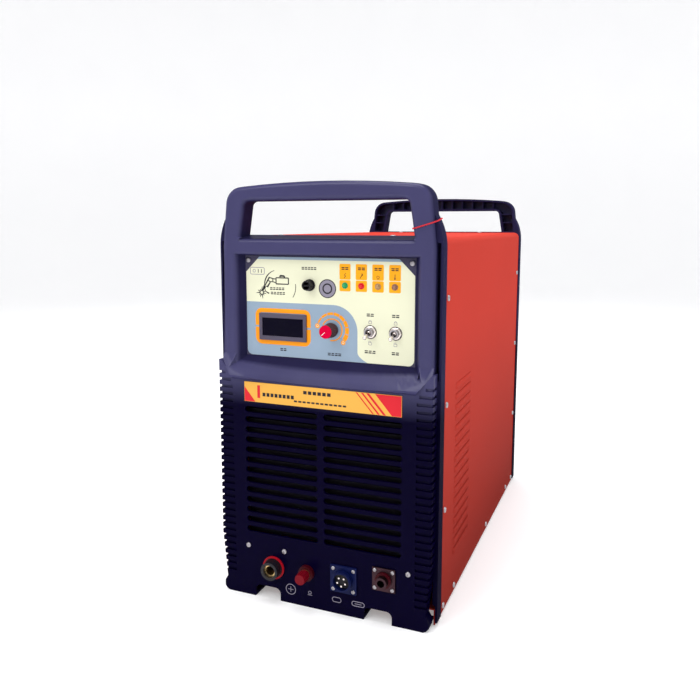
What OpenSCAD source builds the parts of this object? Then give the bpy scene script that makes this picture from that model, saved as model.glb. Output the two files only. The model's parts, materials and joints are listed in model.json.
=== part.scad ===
// Upright inverter plasma cutter: two moulded ends with handles, a sheet cover, a base pan,
// a recessed control panel, a row of outlets at the foot and the power parts inside.
// Millimetres. +Z is up, the control panel faces -Y, and the floor is z = 0.
// Places along y are measured inwards from an end face, and at_front() and at_rear() put them there.

/* [Body] */
// Depth from the lower front face to the lower rear face
body_d = 640; // [600:10:700]
// Half of the width over the skirts of the end mouldings
skirt_hw = 160; // [158.5:0.5:162]
// Height of the front handle's crest
crest_z = 585; // [583:1:590]
// Depth of an end moulding, from its lower face to its inner edge
mould_d = 38; // [36:0.5:40]
// Wall of an end moulding
wall = 4; // [3:0.5:4.5]

/* [Cover] */
// Height of the cover's top
cover_z = 513; // [512.8:0.1:514]
// Half of the cover's width
cover_hw = 158.4; // [158.2:0.1:158.4]
// Sheet thickness of the cover
sheet = 1.5; // [1:0.1:1.5]
// Number of louvre slots in each side of the cover
louvre_count = 17; // [8:1:17]

/* [Grille] */
// Number of slots in each column of an end grille
slot_count = 13; // [6:1:13]
// Spacing of the grille slots
slot_pitch = 14.5; // [13:0.1:14.5]
// Height of one grille slot
slot_h = 8.4; // [6:0.2:9]
// Half of the grille's width
grille_hw = 115; // [100:1:118]
// Spacing of the grip ribs on the corners
rib_pitch = 10; // [8:0.5:12]

/* [Controls] */
// Height of the row of signal lamps
lamp_z = 449; // [446:1:452]
// Spacing of the signal lamps
lamp_pitch = 23.1; // [20:0.1:24]
// Height of the knob and the two toggle switches
control_z = 389; // [387:1:391]
// Swing of a toggle lever to each side of straight
toggle_swing = 15; // [8:1:16]
// Length of the current knob
knob_l = 18; // [14:1:20]

/* [Outlets] */
// Radius of the work lead socket's bore
socket_r = 6.55; // [6:0.05:7]
// Radius of the hose nipple of the air inlet
inlet_r = 6; // [5:0.5:7]
// Radius of the mains cable passage
cable_r = 9; // [6:0.5:10]

/* [Hidden] */
$fn = 48;

eps = 0.01;
strip_hw = skirt_hw - 4.5;
frame_hw = skirt_hw - 7.5;
face_y = 10;
skirt_y = 18;
chin_x = 132;
chin_z = 316;
chin_rise = 26;
post_z = 500;
corner_r = 24;
corner_x = frame_hw - 5.5 - corner_r;
corner_z = 555.5;
crown_r = 1420;
flare_r = 79;
flare_a = 31;
gap_low = 510;
gap_top = 560;
gap_hw_low = 124;
gap_hw_top = 118;
gap_r = 8;
recess_hw = 133;
recess_floor_hw = 124;
recess_top = 488.6;
plate_y = 24;
plate_t = 1.5;
plate_low = 346.5;
plate_top = 486.6;
plate_screw = [119, 480];
spigot_hw = cover_hw - sheet - 0.5;
spigot_z = cover_z - sheet - 0.5;
spigot_y = 60;
leg_hw = cover_hw - sheet - 0.4;
slot_low = 96;
screw_y = 52;
foot_hw = 150;
notch_x = 83;
rear_crest_drop = 4;

// ---- helpers ----
module at_front() { translate([0, -body_d / 2, 0]) children(); }
module at_rear() { rotate([0, 0, 180]) translate([0, -body_d / 2, 0]) children(); }
// A flat outline in x and z, made solid from y0 to y1
module slab(y0, y1) { translate([0, y1, 0]) rotate([90, 0, 0]) linear_extrude(y1 - y0) children(); }
// A flat outline in y and z, made solid from x0 to x1
module span(x0, x1) { translate([x0, 0, 0]) rotate([90, 0, 90]) linear_extrude(x1 - x0) children(); }
// A box between two corners
module block(a, b) { translate(a) cube(b - a); }
// A round bar along y
module rod(x, z, y0, y1, r) { translate([x, y1, z]) rotate([90, 0, 0]) cylinder(h = y1 - y0, r = r); }
// A six-sided bar along y
module hex_rod(x, z, y0, y1, r) {
    translate([x, y1, z]) rotate([90, 0, 0]) cylinder(h = y1 - y0, r = r, $fn = 6);
}
// A round tube along y
module tube(x, z, y0, y1, r, bore) {
    difference() {
        rod(x, z, y0, y1, r);
        rod(x, z, y0 - 1, y1 + 1, bore);
    }
}
function arc_points(cx, cz, r, a0, a1, n) =
    [for (i = [0:n]) let (a = a0 + (a1 - a0) * i / n) [cx + r * cos(a), cz + r * sin(a)]];
function mirrored(p) = concat(p, [for (i = [len(p) - 1:-1:0]) [-p[i][0], p[i][1]]]);

// ---- outlines of the end mouldings ----
// Upper frame and handle, moved inwards by e
function frame_side(top, e) = concat(
    [[frame_hw - e, chin_z - 6 + e], [frame_hw - e, post_z]],
    arc_points(corner_x, corner_z - crest_z + top, corner_r - e, 0, 80, 8),
    arc_points(0, top - crown_r, crown_r - e, 85.2, 90, 4));
module frame_outline(top, e) { polygon(mirrored(frame_side(top, e))); }
// Finger gap of the handle, grown by e
module gap_outline(low, top, e) {
    polygon(mirrored(concat(
        arc_points(gap_hw_low - gap_r, low + gap_r, gap_r + e, -90, 0, 5),
        arc_points(gap_hw_top - gap_r, top - gap_r, gap_r + e, 0, 90, 5))));
}
// Lower body with its waist above the feet and its cut top corners
module body_outline() {
    polygon(mirrored([[foot_hw - 4, 0], [foot_hw, 2], [strip_hw - 2, 6], [strip_hw - 2, 14],
        [strip_hw - 6.5, 22], [strip_hw, 90], [strip_hw, chin_z + chin_rise],
        [frame_hw, chin_z + chin_rise], [chin_x, chin_z]]));
}
// Skirt behind the frame, flared in towards the handle posts
module skirt_outline() {
    polygon(mirrored(concat([[foot_hw, 0], [foot_hw, 6], [skirt_hw, 6]],
        arc_points(skirt_hw - flare_r, post_z, flare_r, 0, flare_a, 6))));
}
module arch_outline(hw, low, top, r) {
    polygon(mirrored(concat([[hw, low]], arc_points(hw - r, top - r, r, 0, 90, 6))));
}

// ---- parts of an end moulding ----
module mould_mass(top) {
    slab(0, skirt_y + 2) body_outline();
    slab(face_y, mould_d) frame_outline(top, 0);
    slab(skirt_y, mould_d) skirt_outline();
    intersection() {
        span(-frame_hw, frame_hw) polygon([[-5, chin_z + 3], [-5, chin_z + 6],
            [face_y, chin_z + 34], [face_y + 6, chin_z + 34], [face_y + 6, chin_z], [0, chin_z]]);
        slab(-6, face_y + 7) polygon(mirrored([[chin_x, chin_z], [frame_hw, chin_z + chin_rise],
            [frame_hw, chin_z + 40]]));
    }
}
module mould_cavity(top) {
    slab(wall, skirt_y + eps) polygon(mirrored([[strip_hw - 10, wall], [strip_hw - 11, 22],
        [strip_hw - wall, 90], [strip_hw - wall, chin_z - 6]]));
    slab(face_y + wall, mould_d + 1) polygon(mirrored([[149, chin_z - 7], [149, gap_low - wall]]));
    slab(skirt_y, mould_d + 1) polygon(mirrored([[spigot_hw - 3, wall], [spigot_hw - 3, chin_z - 6]]));
    slab(skirt_y, mould_d + 1) polygon(mirrored([[spigot_hw + 0.6, wall - eps], [spigot_hw + 0.6, 30]]));
    slab(face_y + wall, mould_d + 1) difference() {
        frame_outline(top, wall);
        gap_outline(gap_low, gap_top - crest_z + top, wall);
        polygon(mirrored([[frame_hw, 0], [frame_hw, gap_low + 6]]));
    }
}
// Cross ribs inside the hollow handle bar and its posts
module handle_ribs(top) {
    intersection() {
        slab(face_y + wall - 1, mould_d - 3) difference() {
            frame_outline(top, 1);
            gap_outline(gap_low, gap_top - crest_z + top, 1);
        }
        union() {
            for (i = [-5:5]) block([i * 21 - 1, 0, gap_top - 6], [i * 21 + 1, mould_d, top]);
            for (s = [-1, 1], z = [532, 548]) block([s * 135 - 20, 0, z], [s * 135 + 20, mould_d, z + 2]);
        }
    }
}
module recess_block() {
    block([-recess_hw - 4, face_y, chin_z + 10], [recess_hw + 4, plate_y + 5, recess_top + 4.4]);
}
// Sloping walls of the recess, its floor and the window behind the plate
module recess_cut() {
    intersection() {
        translate([0, 0, 300]) linear_extrude(200) polygon([[-recess_hw, -12], [recess_hw, -12],
            [recess_hw, face_y], [recess_floor_hw, plate_y], [recess_floor_hw, plate_y + plate_t],
            [-recess_floor_hw, plate_y + plate_t], [-recess_floor_hw, plate_y], [-recess_hw, face_y]]);
        span(-150, 150) polygon([[-12, 323.5], [plate_y, plate_low], [plate_y + plate_t, plate_low],
            [plate_y + plate_t, plate_top], [plate_y, plate_top], [face_y, recess_top],
            [-12, recess_top]]);
    }
    block([-112, plate_y, 358], [112, plate_y + 6, 474]);
    for (s = [-1, 1]) rod(s * plate_screw[0], plate_screw[1], plate_y, plate_y + 6, 2.1);
}
module gap_cut(top) {
    intersection() {
        slab(-12, spigot_y + 2) gap_outline(gap_low - 5, gap_top - crest_z + top, 0);
        span(-150, 150) polygon([[-12, gap_low], [14, gap_low], [mould_d, cover_z + 1.6],
            [spigot_y + 2, cover_z + 1.6], [spigot_y + 2, 600], [-12, 600]]);
    }
}
module slot_outline(x0, x1, z) {
    r = slot_h / 2;
    translate([x0 + r, z]) square([x1 - x0 - slot_h, slot_h]);
    for (x = [x0 + r, x1 - r]) translate([x, z + r]) circle(r);
}
module grille_cut() {
    slab(-1, wall + 1) for (k = [0:slot_count - 1], s = [0, 1])
        mirror([s, 0]) slot_outline(4.5, grille_hw, slot_low + k * slot_pitch);
}
// Grooves between the grip ribs, across the front of a corner and round its side
module rib_cut() {
    for (k = [0:floor(290 / rib_pitch)]) {
        z = 32 + k * rib_pitch;
        x_in = chin_x + 2 + max(0, (z + 8 - chin_z) * 0.8);
        x_side = z < 90 ? strip_hw - 6.5 * (90 - z) / 68 : strip_hw;
        for (s = [0, 1]) mirror([s, 0, 0]) {
            block([x_in, -1, z], [strip_hw + 2, 2.4, z + 4]);
            block([x_side - 2.4, 2, z], [strip_hw + 2, skirt_y - 3, z + 4]);
        }
    }
}
module notch_cut() {
    for (s = [-1, 1]) translate([s * notch_x, 0]) slab(-1, mould_d + 1) {
        translate([-20, -1]) square([40, 11]);
        translate([-12, -1]) square([24, 19]);
        for (x = [-12, 12]) translate([x, 10]) circle(8);
    }
}
module channel_cut() {
    for (s = [0, 1]) mirror([s, 0, 0])
        block([frame_hw, skirt_y - eps, chin_z + 16], [frame_hw + 4.8, skirt_y + 12, post_z + 6]);
}
// Rim that fits inside the cover's end
module spigot() {
    difference() {
        slab(mould_d - 1, spigot_y) arch_outline(spigot_hw, 32, spigot_z, 8.5);
        slab(mould_d - 2, spigot_y + 1) arch_outline(spigot_hw - 3, 31, spigot_z - 3, 5.5);
    }
}
module end_screw_holes(r) {
    for (z = [150, 294, 435], s = [0, 1]) mirror([s, 0, 0])
        translate([spigot_hw - 8, screw_y, z]) rotate([0, 90, 0]) cylinder(h = 12, r = r);
    for (s = [-1, 1]) translate([s * notch_x, screw_y, spigot_z - 8]) cylinder(h = 12, r = r);
}
module end_mould(top) {
    difference() {
        union() {
            difference() {
                mould_mass(top);
                mould_cavity(top);
            }
            recess_block();
            handle_ribs(top);
            spigot();
        }
        recess_cut();
        gap_cut(top);
        grille_cut();
        rib_cut();
        notch_cut();
        channel_cut();
        end_screw_holes(2.1);
    }
}

// ---- outlet places on the lower front ----
work_at = [-73, 48.5];
pilot_at = [-21, 51];
signal_at = [34.2, 52];
torch_at = [92, 63.3];
signal_bolt = 14.6;
torch_bolt = 12.25;
front_screws = [[-113, 75], [-56, 75], [125, 76.5]];
knob_at = [7.5, control_z];
toggle_x = [62, 97];
fuse_at = [-25, 448];
display_at = [-66, 388.5];
lamp_x = 26.4;
standoff_x = 106;
standoff_z = [363, 470];

module front_bezel() color([0.10, 0.10, 0.22]) at_front() difference() {
    end_mould(crest_z);
    rod(work_at[0], work_at[1], -1, wall + 1, 11.2);
    rod(pilot_at[0], pilot_at[1], -1, wall + 1, 7.2);
    rod(signal_at[0], signal_at[1], -1, wall + 1, 13);
    rod(torch_at[0], torch_at[1], -1, wall + 1, 8.2);
    for (p = front_screws) rod(p[0], p[1], -1, wall + 1, 2.1);
    for (s = [-1, 1], t = [-1, 1]) {
        rod(signal_at[0] + s * signal_bolt, signal_at[1] + t * signal_bolt, -1, wall + 1, 1.6);
        rod(torch_at[0] + s * torch_bolt, torch_at[1] + t * torch_bolt, -1, wall + 1, 1.6);
    }
}

inlet_at = [-92, 63.3];
ground_at = [62, 50];
module rear_bezel() color([0.10, 0.10, 0.22]) at_rear() difference() {
    end_mould(crest_z - rear_crest_drop);
    rod(inlet_at[0], inlet_at[1], -1, wall + 1, 8.2);
    rod(ground_at[0], ground_at[1], -1, wall + 1, 4.2);
    for (p = front_screws) rod(-p[0], p[1], -1, wall + 1, 2.1);
}

// ---- cover, pan and their screws ----
cover_y = mould_d + 0.4;
vent_y = 105;
vent_l = 90;
vent_z = 66;
vent_pitch = 15;
foot_screw_y = [112, 338, 528];
foot_screw_z = 14;
module cover() color([0.80, 0.16, 0.10]) difference() {
    slab(cover_y - body_d / 2, body_d / 2 - cover_y) arch_outline(cover_hw, 5, cover_z, 10);
    slab(-body_d / 2, body_d / 2) arch_outline(cover_hw - sheet, 4, cover_z - sheet, 8.5);
    at_front() for (k = [0:louvre_count - 1], s = [0, 1]) mirror([s, 0, 0])
        block([cover_hw - 4, vent_y, vent_z + k * vent_pitch],
            [cover_hw + 1, vent_y + vent_l, vent_z + k * vent_pitch + 4]);
    at_front() end_screw_holes(2.2);
    at_rear() end_screw_holes(2.2);
    side_screws() translate([0, 0, -10]) cylinder(h = 12, r = 2.2);
}
// Places of the screws along the foot of the cover, with z of each child pointing outwards
module side_screws() {
    at_front() for (y = concat([screw_y, body_d - screw_y], foot_screw_y), s = [0, 1])
        mirror([s, 0, 0]) translate([cover_hw, y, foot_screw_z]) rotate([0, 90, 0]) children();
}
module end_screws() {
    for (z = [150, 294, 435], s = [0, 1]) mirror([s, 0, 0])
        translate([cover_hw, screw_y, z]) rotate([0, 90, 0]) children();
    for (s = [-1, 1]) translate([s * notch_x, screw_y, cover_z]) children();
}
// Pan-head screw along z, with its seat at z = 0, a shank below it and a cross in its head
module pan_screw(head_r, head_h, r, l) {
    difference() {
        cylinder(h = head_h, r = head_r);
        for (a = [0, 90]) rotate([0, 0, a])
            translate([-head_r * 0.55, -0.45, head_h - 1]) cube([head_r * 1.1, 0.9, 2]);
    }
    translate([0, 0, -l]) cylinder(h = l, r = r);
}
module cover_screws() color([0.75, 0.75, 0.75]) {
    at_front() end_screws() pan_screw(4, 2.2, 2, 7);
    at_rear() end_screws() pan_screw(4, 2.2, 2, 7);
    side_screws() pan_screw(4, 2.2, 2, 7);
}
module face_screw(x, z, y, head_r, r, l) {
    translate([x, y, z]) rotate([90, 0, 0]) pan_screw(head_r, 2, r, l);
}
// Screws of the mouldings' lower faces and of the plates in their recesses
module face_screws() color([0.75, 0.75, 0.77]) {
    at_front() for (p = front_screws) face_screw(p[0], p[1], 0, 3.6, 2, 8);
    at_rear() for (p = front_screws) face_screw(-p[0], p[1], 0, 3.6, 2, 8);
    for (s = [-1, 1]) {
        at_front() face_screw(s * plate_screw[0], plate_screw[1], plate_y, 3.6, 2, 5);
        at_rear() face_screw(s * plate_screw[0], plate_screw[1], plate_y, 3.6, 2, 5);
    }
}
module base_pan() color([0.80, 0.20, 0.10]) difference() {
    union() {
        block([-leg_hw, -body_d / 2 + 20.5, 22], [leg_hw, body_d / 2 - 20.5, 24]);
        for (s = [0, 1]) mirror([s, 0, 0])
            block([leg_hw - 2, -body_d / 2 + 20.5, 1.5], [leg_hw, body_d / 2 - 20.5, 24]);
    }
    side_screws() translate([0, 0, -10]) cylinder(h = 12, r = 2.1);
}

// ---- control panel ----
module each_lamp() { for (i = [0:3]) translate([lamp_x + i * lamp_pitch, 0, lamp_z]) children(); }
module control_plate() color([0.12, 0.12, 0.20]) at_front() difference() {
    block([-recess_floor_hw + 0.2, plate_y, plate_low + 0.2],
        [recess_floor_hw - 0.2, plate_y + plate_t, plate_top - 0.2]);
    block([display_at[0] - 34.2, 0, display_at[1] - 16.7],
        [display_at[0] + 34.2, 60, display_at[1] + 16.7]);
    rod(knob_at[0], knob_at[1], 0, 60, 4.7);
    for (x = toggle_x) rod(x, control_z, 0, 60, 6.1);
    each_lamp() rod(0, 0, 0, 60, 3.1);
    rod(fuse_at[0], fuse_at[1], 0, 60, 6.2);
    for (s = [-1, 1]) rod(s * plate_screw[0], plate_screw[1], 0, 60, 2.1);
    for (s = [-1, 1], z = standoff_z) rod(s * standoff_x, z, 0, 60, 1.6);
}
overlay_t = 0.4;
overlay_hw = 122.5;
overlay_cut = 21;
// Printed label sheet with cut top corners and rounded lower corners
module control_overlay() color([0.93, 0.90, 0.78]) at_front() difference() {
    slab(plate_y - overlay_t, plate_y) polygon(mirrored(concat(
        arc_points(overlay_hw - 8, plate_low + 9, 8, -90, 0, 6),
        [[overlay_hw, plate_top - 1.6 - overlay_cut], [overlay_hw - overlay_cut, plate_top - 1.6]])));
    block([display_at[0] - 34.2, 0, display_at[1] - 16.7],
        [display_at[0] + 34.2, 60, display_at[1] + 16.7]);
    rod(knob_at[0], knob_at[1], 0, 60, 9);
    for (x = toggle_x) rod(x, control_z, 0, 60, 9.2);
    each_lamp() rod(0, 0, 0, 60, 4.4);
    rod(fuse_at[0], fuse_at[1], 0, 60, 6.2);
}
module nameplate() color([0.95, 0.70, 0.25]) at_front()
    block([-114.5, -1.2, 286], [114.5, 0, 313.6]);
display_y = plate_y - overlay_t;
// Rim on the panel and the box that it carries behind the plate
module display_bezel() color([0.33, 0.32, 0.38]) at_front() difference() {
    union() {
        block([display_at[0] - 36, display_y - 2.6, display_at[1] - 18.6],
            [display_at[0] + 36, display_y, display_at[1] + 18.6]);
        block([display_at[0] - 34, display_y - 1, display_at[1] - 16.5],
            [display_at[0] + 34, plate_y + 18, display_at[1] + 16.5]);
    }
    block([display_at[0] - 31.4, 0, display_at[1] - 12.6], [display_at[0] + 31.4, 60, display_at[1] + 12.6]);
}
module display_window() color([0.03, 0.02, 0.08]) at_front()
    block([display_at[0] - 31.4, display_y - 1.4, display_at[1] - 12.6],
        [display_at[0] + 31.4, display_y + 0.8, display_at[1] + 12.6]);
// Circuit card with three seven-bar figures behind the window
module display_module() color([0.10, 0.35, 0.18]) at_front() {
    block([display_at[0] - 31.4, plate_y + 10, display_at[1] - 12.6],
        [display_at[0] + 31.4, plate_y + 11.6, display_at[1] + 12.6]);
    for (i = [-1:1]) block([display_at[0] + i * 18 - 7, plate_y + 3, display_at[1] - 9.5],
        [display_at[0] + i * 18 + 7, plate_y + 10.5, display_at[1] + 9.5]);
}
module potentiometer() color([0.55, 0.55, 0.58]) at_front() difference() {
    union() {
        rod(knob_at[0], knob_at[1], plate_y + plate_t, plate_y + 13, 12);
        rod(knob_at[0], knob_at[1], plate_y - 5.5, plate_y + 3, 4.5);
    }
    rod(knob_at[0], knob_at[1], plate_y - 10, plate_y + 11, 3.05);
}
module pot_nut() color([0.75, 0.75, 0.75]) at_front() difference() {
    hex_rod(knob_at[0], knob_at[1], plate_y - 2.6, plate_y, 6.6);
    rod(knob_at[0], knob_at[1], plate_y - 6, plate_y + 2, 4.55);
}
knob_y = plate_y - 3.6;
module pot_shaft() color([0.8, 0.8, 0.8]) at_front()
    rod(knob_at[0], knob_at[1], knob_y - knob_l + 6, plate_y + 10.5, 3);
// Knob with a skirt recess that clears the bushing
module current_knob() color([0.20, 0.09, 0.10]) at_front() difference() {
    union() {
        rod(knob_at[0], knob_at[1], knob_y - 3, knob_y, 10);
        translate([knob_at[0], knob_y - 3, knob_at[1]]) rotate([90, 0, 0])
            cylinder(h = knob_l - 3, r1 = 9.6, r2 = 9);
        for (i = [0:17]) translate([knob_at[0], knob_y - 3, knob_at[1]]) rotate([0, i * 20, 0])
            translate([9, 0, 0]) rotate([90, 0, 0]) cylinder(h = knob_l - 4, r = 0.9, $fn = 16);
    }
    rod(knob_at[0], knob_at[1], knob_y - knob_l + 6, knob_y + 1, 3.02);
    rod(knob_at[0], knob_at[1], knob_y - 3, knob_y + 1, 5.2);
}
module knob_cap() color([0.86, 0.05, 0.18]) at_front() difference() {
    rod(knob_at[0], knob_at[1], knob_y - knob_l - 1.6, knob_y - knob_l, 8.8);
    translate([knob_at[0], 0, knob_at[1]]) rotate([0, -30, 0])
        block([-8.9, knob_y - knob_l - 2, -0.5], [-1.5, knob_y - knob_l - 1.2, 0.5]);
}
pivot_y = plate_y - 3;
// Switch box behind the plate and the threaded bushing through it
module toggle_bodies() color([0.75, 0.75, 0.76]) at_front() for (x = toggle_x) {
    difference() {
        union() {
            block([x - 6.5, plate_y + plate_t, control_z - 12.5], [x + 6.5, plate_y + 22, control_z + 12.5]);
            rod(x, control_z, plate_y - 8, plate_y + 3, 5.9);
        }
        rod(x, control_z, plate_y - 9, plate_y + 2, 4.2);
    }
}
// Ball and tapered lever, resting tipped down
module toggle_lever(x) {
    color([0.85, 0.85, 0.86]) at_front() translate([x, pivot_y, control_z])
        rotate([90 + toggle_swing, 0, 0]) union() {
            sphere(r = 3.6);
            cylinder(h = 17.8, r1 = 1.5, r2 = 2.3);
            translate([0, 0, 17.8]) sphere(r = 2.7);
        }
}
module toggle_lever_1() toggle_lever(toggle_x[0]);
module toggle_lever_2() toggle_lever(toggle_x[1]);
module toggle_nuts() color([0.8, 0.78, 0.78]) at_front() for (x = toggle_x) difference() {
    hex_rod(x, control_z, plate_y - 3, plate_y, 8.6);
    rod(x, control_z, plate_y - 6, plate_y + 2, 5.95);
}
// Domed signal lamp with its collar on the plate
module lamp(i) {
    at_front() translate([lamp_x + i * lamp_pitch, 0, lamp_z]) {
        rod(0, 0, plate_y - 1.2, plate_y, 4.2);
        rod(0, 0, plate_y - eps, plate_y + 16, 3);
        translate([0, plate_y - 1.2, 0]) intersection() {
            sphere(r = 2.9);
            block([-4, -4, -4], [4, eps, 4]);
        }
    }
}
module lamp_power() color([0.05, 0.55, 0.35]) lamp(0);
module lamp_cutting() color([0.85, 0.08, 0.08]) lamp(1);
module lamp_air() color([0.75, 0.50, 0.20]) lamp(2);
module lamp_heat() color([0.60, 0.38, 0.22]) lamp(3);
module fuse_holder() color([0.06, 0.06, 0.07]) at_front() difference() {
    union() {
        rod(fuse_at[0], fuse_at[1], plate_y - 2.4, plate_y - overlay_t, 8);
        rod(fuse_at[0], fuse_at[1], plate_y - 1, plate_y + 31, 6);
    }
    rod(fuse_at[0], fuse_at[1], plate_y - 3, plate_y + 5, 4.8);
    rod(fuse_at[0], fuse_at[1], plate_y + 4, plate_y + 28, 3.2);
}
module fuse_link() color([0.8, 0.8, 0.78]) at_front()
    rod(fuse_at[0], fuse_at[1], plate_y - 1, plate_y + 26, 2.6);
module fuse_cap() color([0.08, 0.08, 0.09]) at_front() difference() {
    union() {
        rod(fuse_at[0], fuse_at[1], plate_y - 12, plate_y - 2.7, 6.4);
        rod(fuse_at[0], fuse_at[1], plate_y - 3, plate_y + 4, 4.5);
        for (i = [0:11]) translate([fuse_at[0], plate_y - 3.4, fuse_at[1]]) rotate([0, i * 30, 0])
            translate([6.3, 0, 0]) rotate([90, 0, 0]) cylinder(h = 7, r = 0.7, $fn = 16);
    }
    rod(fuse_at[0], fuse_at[1], plate_y - 1.5, plate_y + 5, 2.8);
    block([fuse_at[0] - 5, plate_y - 13, fuse_at[1] - 0.7], [fuse_at[0] + 5, plate_y - 10.8, fuse_at[1] + 0.7]);
}
board_y = plate_y + 38;
module board_standoffs() color([0.8, 0.8, 0.78]) at_front() for (s = [-1, 1], z = standoff_z) {
    rod(s * standoff_x, z, plate_y + 0.1, plate_y + plate_t + 1, 1.5);
    hex_rod(s * standoff_x, z, plate_y + plate_t, board_y, 3.2);
}
// Control card with its chips and a row of terminals
module control_board() color([0.08, 0.36, 0.20]) at_front() {
    block([-114, board_y, 354], [114, board_y + 1.6, 480]);
    for (i = [0:5]) block([-95 + i * 32, board_y + 1.6, 400], [-77 + i * 32, board_y + 6, 424]);
    for (i = [0:7]) block([-90 + i * 22, board_y + 1.6, 362], [-76 + i * 22, board_y + 13, 374]);
    for (i = [0:4]) rod(-80 + i * 36, 452, board_y + 1.6, board_y + 18, 6);
}

// ---- outlets ----
module work_socket() color([0.05, 0.05, 0.06]) at_front() difference() {
    union() {
        rod(work_at[0], work_at[1], -15, -3, 13);
        rod(work_at[0], work_at[1], -3, 0, 14);
        rod(work_at[0], work_at[1], -eps, 24, 11);
    }
    rod(work_at[0], work_at[1], -16, 25, 9);
}
module work_socket_ring() color([0.75, 0.05, 0.05]) at_front()
    tube(work_at[0], work_at[1], -2.4, 0, 16.4, 14.1);
module work_socket_insert() color([0.75, 0.60, 0.30]) at_front()
    tube(work_at[0], work_at[1], -11, 30, 8.95, socket_r);
pilot_y = -6;
module pilot_base() color([0.35, 0.05, 0.05]) at_front() difference() {
    union() {
        rod(pilot_at[0], pilot_at[1], pilot_y, 0, 11);
        rod(pilot_at[0], pilot_at[1], -eps, 8, 7);
    }
    rod(pilot_at[0], pilot_at[1], pilot_y - 1, 9, 4.1);
}
module pilot_stud() color([0.75, 0.60, 0.30]) at_front() {
    rod(pilot_at[0], pilot_at[1], -20, 30, 4);
    difference() {
        hex_rod(pilot_at[0], pilot_at[1], 8, 14, 7.5);
        rod(pilot_at[0], pilot_at[1], 7, 15, 3.9);
    }
}
module pilot_washer() color([0.75, 0.60, 0.30]) at_front()
    tube(pilot_at[0], pilot_at[1], pilot_y - 1.6, pilot_y - 0.1, 7, 4.3);
module pilot_knob() color([0.70, 0.06, 0.06]) at_front() difference() {
    union() {
        rod(pilot_at[0], pilot_at[1], -24, pilot_y - 1.7, 7);
        for (i = [0:11]) translate([pilot_at[0], pilot_y - 3.7, pilot_at[1]]) rotate([0, i * 30, 0])
            translate([6.9, 0, 0]) rotate([90, 0, 0]) cylinder(h = 12, r = 1, $fn = 16);
    }
    rod(pilot_at[0], pilot_at[1], -21.5, 0, 4.05);
}
module square_flange(at, half, y0, y1) {
    block([at[0] - half, y0, at[1] - half], [at[0] + half, y1, at[1] + half]);
}
module bolt_holes(at, b) {
    for (s = [-1, 1], t = [-1, 1]) rod(at[0] + s * b, at[1] + t * b, -8, 8, 1.6);
}
module signal_socket() color([0.12, 0.20, 0.45]) at_front() difference() {
    union() {
        square_flange(signal_at, 19, -2.6, 0);
        rod(signal_at[0], signal_at[1], -11, 14, 12.8);
        rod(signal_at[0], signal_at[1], -10, -4, 14);
    }
    rod(signal_at[0], signal_at[1], -12, 15, 11.5);
    bolt_holes(signal_at, signal_bolt);
}
module signal_insert() color([0.05, 0.05, 0.06]) at_front() difference() {
    rod(signal_at[0], signal_at[1], -4, 12, 11.45);
    each_pin() rod(0, 0, -5, 14, 1.25);
}
module each_pin() {
    for (i = [0:4]) translate([signal_at[0], 0, signal_at[1]]) rotate([0, 90 + i * 72, 0])
        translate([6, 0, 0]) children();
}
module signal_pins() color([0.85, 0.85, 0.88]) at_front() each_pin() rod(0, 0, -9.5, 16, 1.24);
module torch_outlet() color([0.55, 0.42, 0.25]) at_front() difference() {
    union() {
        square_flange(torch_at, 16, -2.6, 0);
        rod(torch_at[0], torch_at[1], -14, -2, 8);
        rod(torch_at[0], torch_at[1], -1, 30, 7.5);
        rod(torch_at[0], torch_at[1], 29, 50, 4);
    }
    rod(torch_at[0], torch_at[1], -15, 51, 2.6);
    rod(torch_at[0], torch_at[1], -15, 10, 5);
    bolt_holes(torch_at, torch_bolt);
}
module torch_insulator() color([0.30, 0.08, 0.08]) at_front()
    tube(torch_at[0], torch_at[1], -6.6, -2.6, 11, 8.1);
module outlet_screws() color([0.75, 0.75, 0.78]) at_front() for (s = [-1, 1], t = [-1, 1]) {
    face_screw(signal_at[0] + s * signal_bolt, signal_at[1] + t * signal_bolt, -2.6, 2.7, 1.5, 9);
    face_screw(torch_at[0] + s * torch_bolt, torch_at[1] + t * torch_bolt, -2.6, 2.7, 1.5, 9);
}

// ---- rear ----
breaker_at = [-45, 415];
gland_at = [60, 400];
module rear_plate() color([0.75, 0.18, 0.10]) at_rear() difference() {
    block([-recess_floor_hw + 0.2, plate_y, plate_low + 0.2],
        [recess_floor_hw - 0.2, plate_y + plate_t, plate_top - 0.2]);
    block([breaker_at[0] - 27.3, 0, breaker_at[1] - 40.3],
        [breaker_at[0] + 27.3, 60, breaker_at[1] + 40.3]);
    rod(gland_at[0], gland_at[1], 0, 60, 14.1);
    for (s = [-1, 1]) rod(s * plate_screw[0], plate_screw[1], 0, 60, 2.1);
}
// Breaker box with the slot that its lever swings in
module breaker() color([0.08, 0.08, 0.09]) at_rear() difference() {
    union() {
        block([breaker_at[0] - 30, plate_y - 4, breaker_at[1] - 43],
            [breaker_at[0] + 30, plate_y, breaker_at[1] + 43]);
        block([breaker_at[0] - 27, plate_y - 9, breaker_at[1] - 22],
            [breaker_at[0] + 27, plate_y - 3, breaker_at[1] + 22]);
        block([breaker_at[0] - 27, plate_y - 1, breaker_at[1] - 40],
            [breaker_at[0] + 27, plate_y + 50, breaker_at[1] + 40]);
    }
    block([breaker_at[0] - 8.5, plate_y - 12, breaker_at[1] - 15],
        [breaker_at[0] + 8.5, plate_y + 12, breaker_at[1] + 15]);
}
breaker_swing = 25;
module breaker_lever() color([0.10, 0.10, 0.11]) at_rear() translate([breaker_at[0], plate_y, breaker_at[1]])
    rotate([breaker_swing, 0, 0]) union() {
        rotate([0, 90, 0]) translate([0, 0, -8]) cylinder(h = 16, r = 8);
        block([-6.5, -20, -3], [6.5, 0, 3]);
    }
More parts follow.
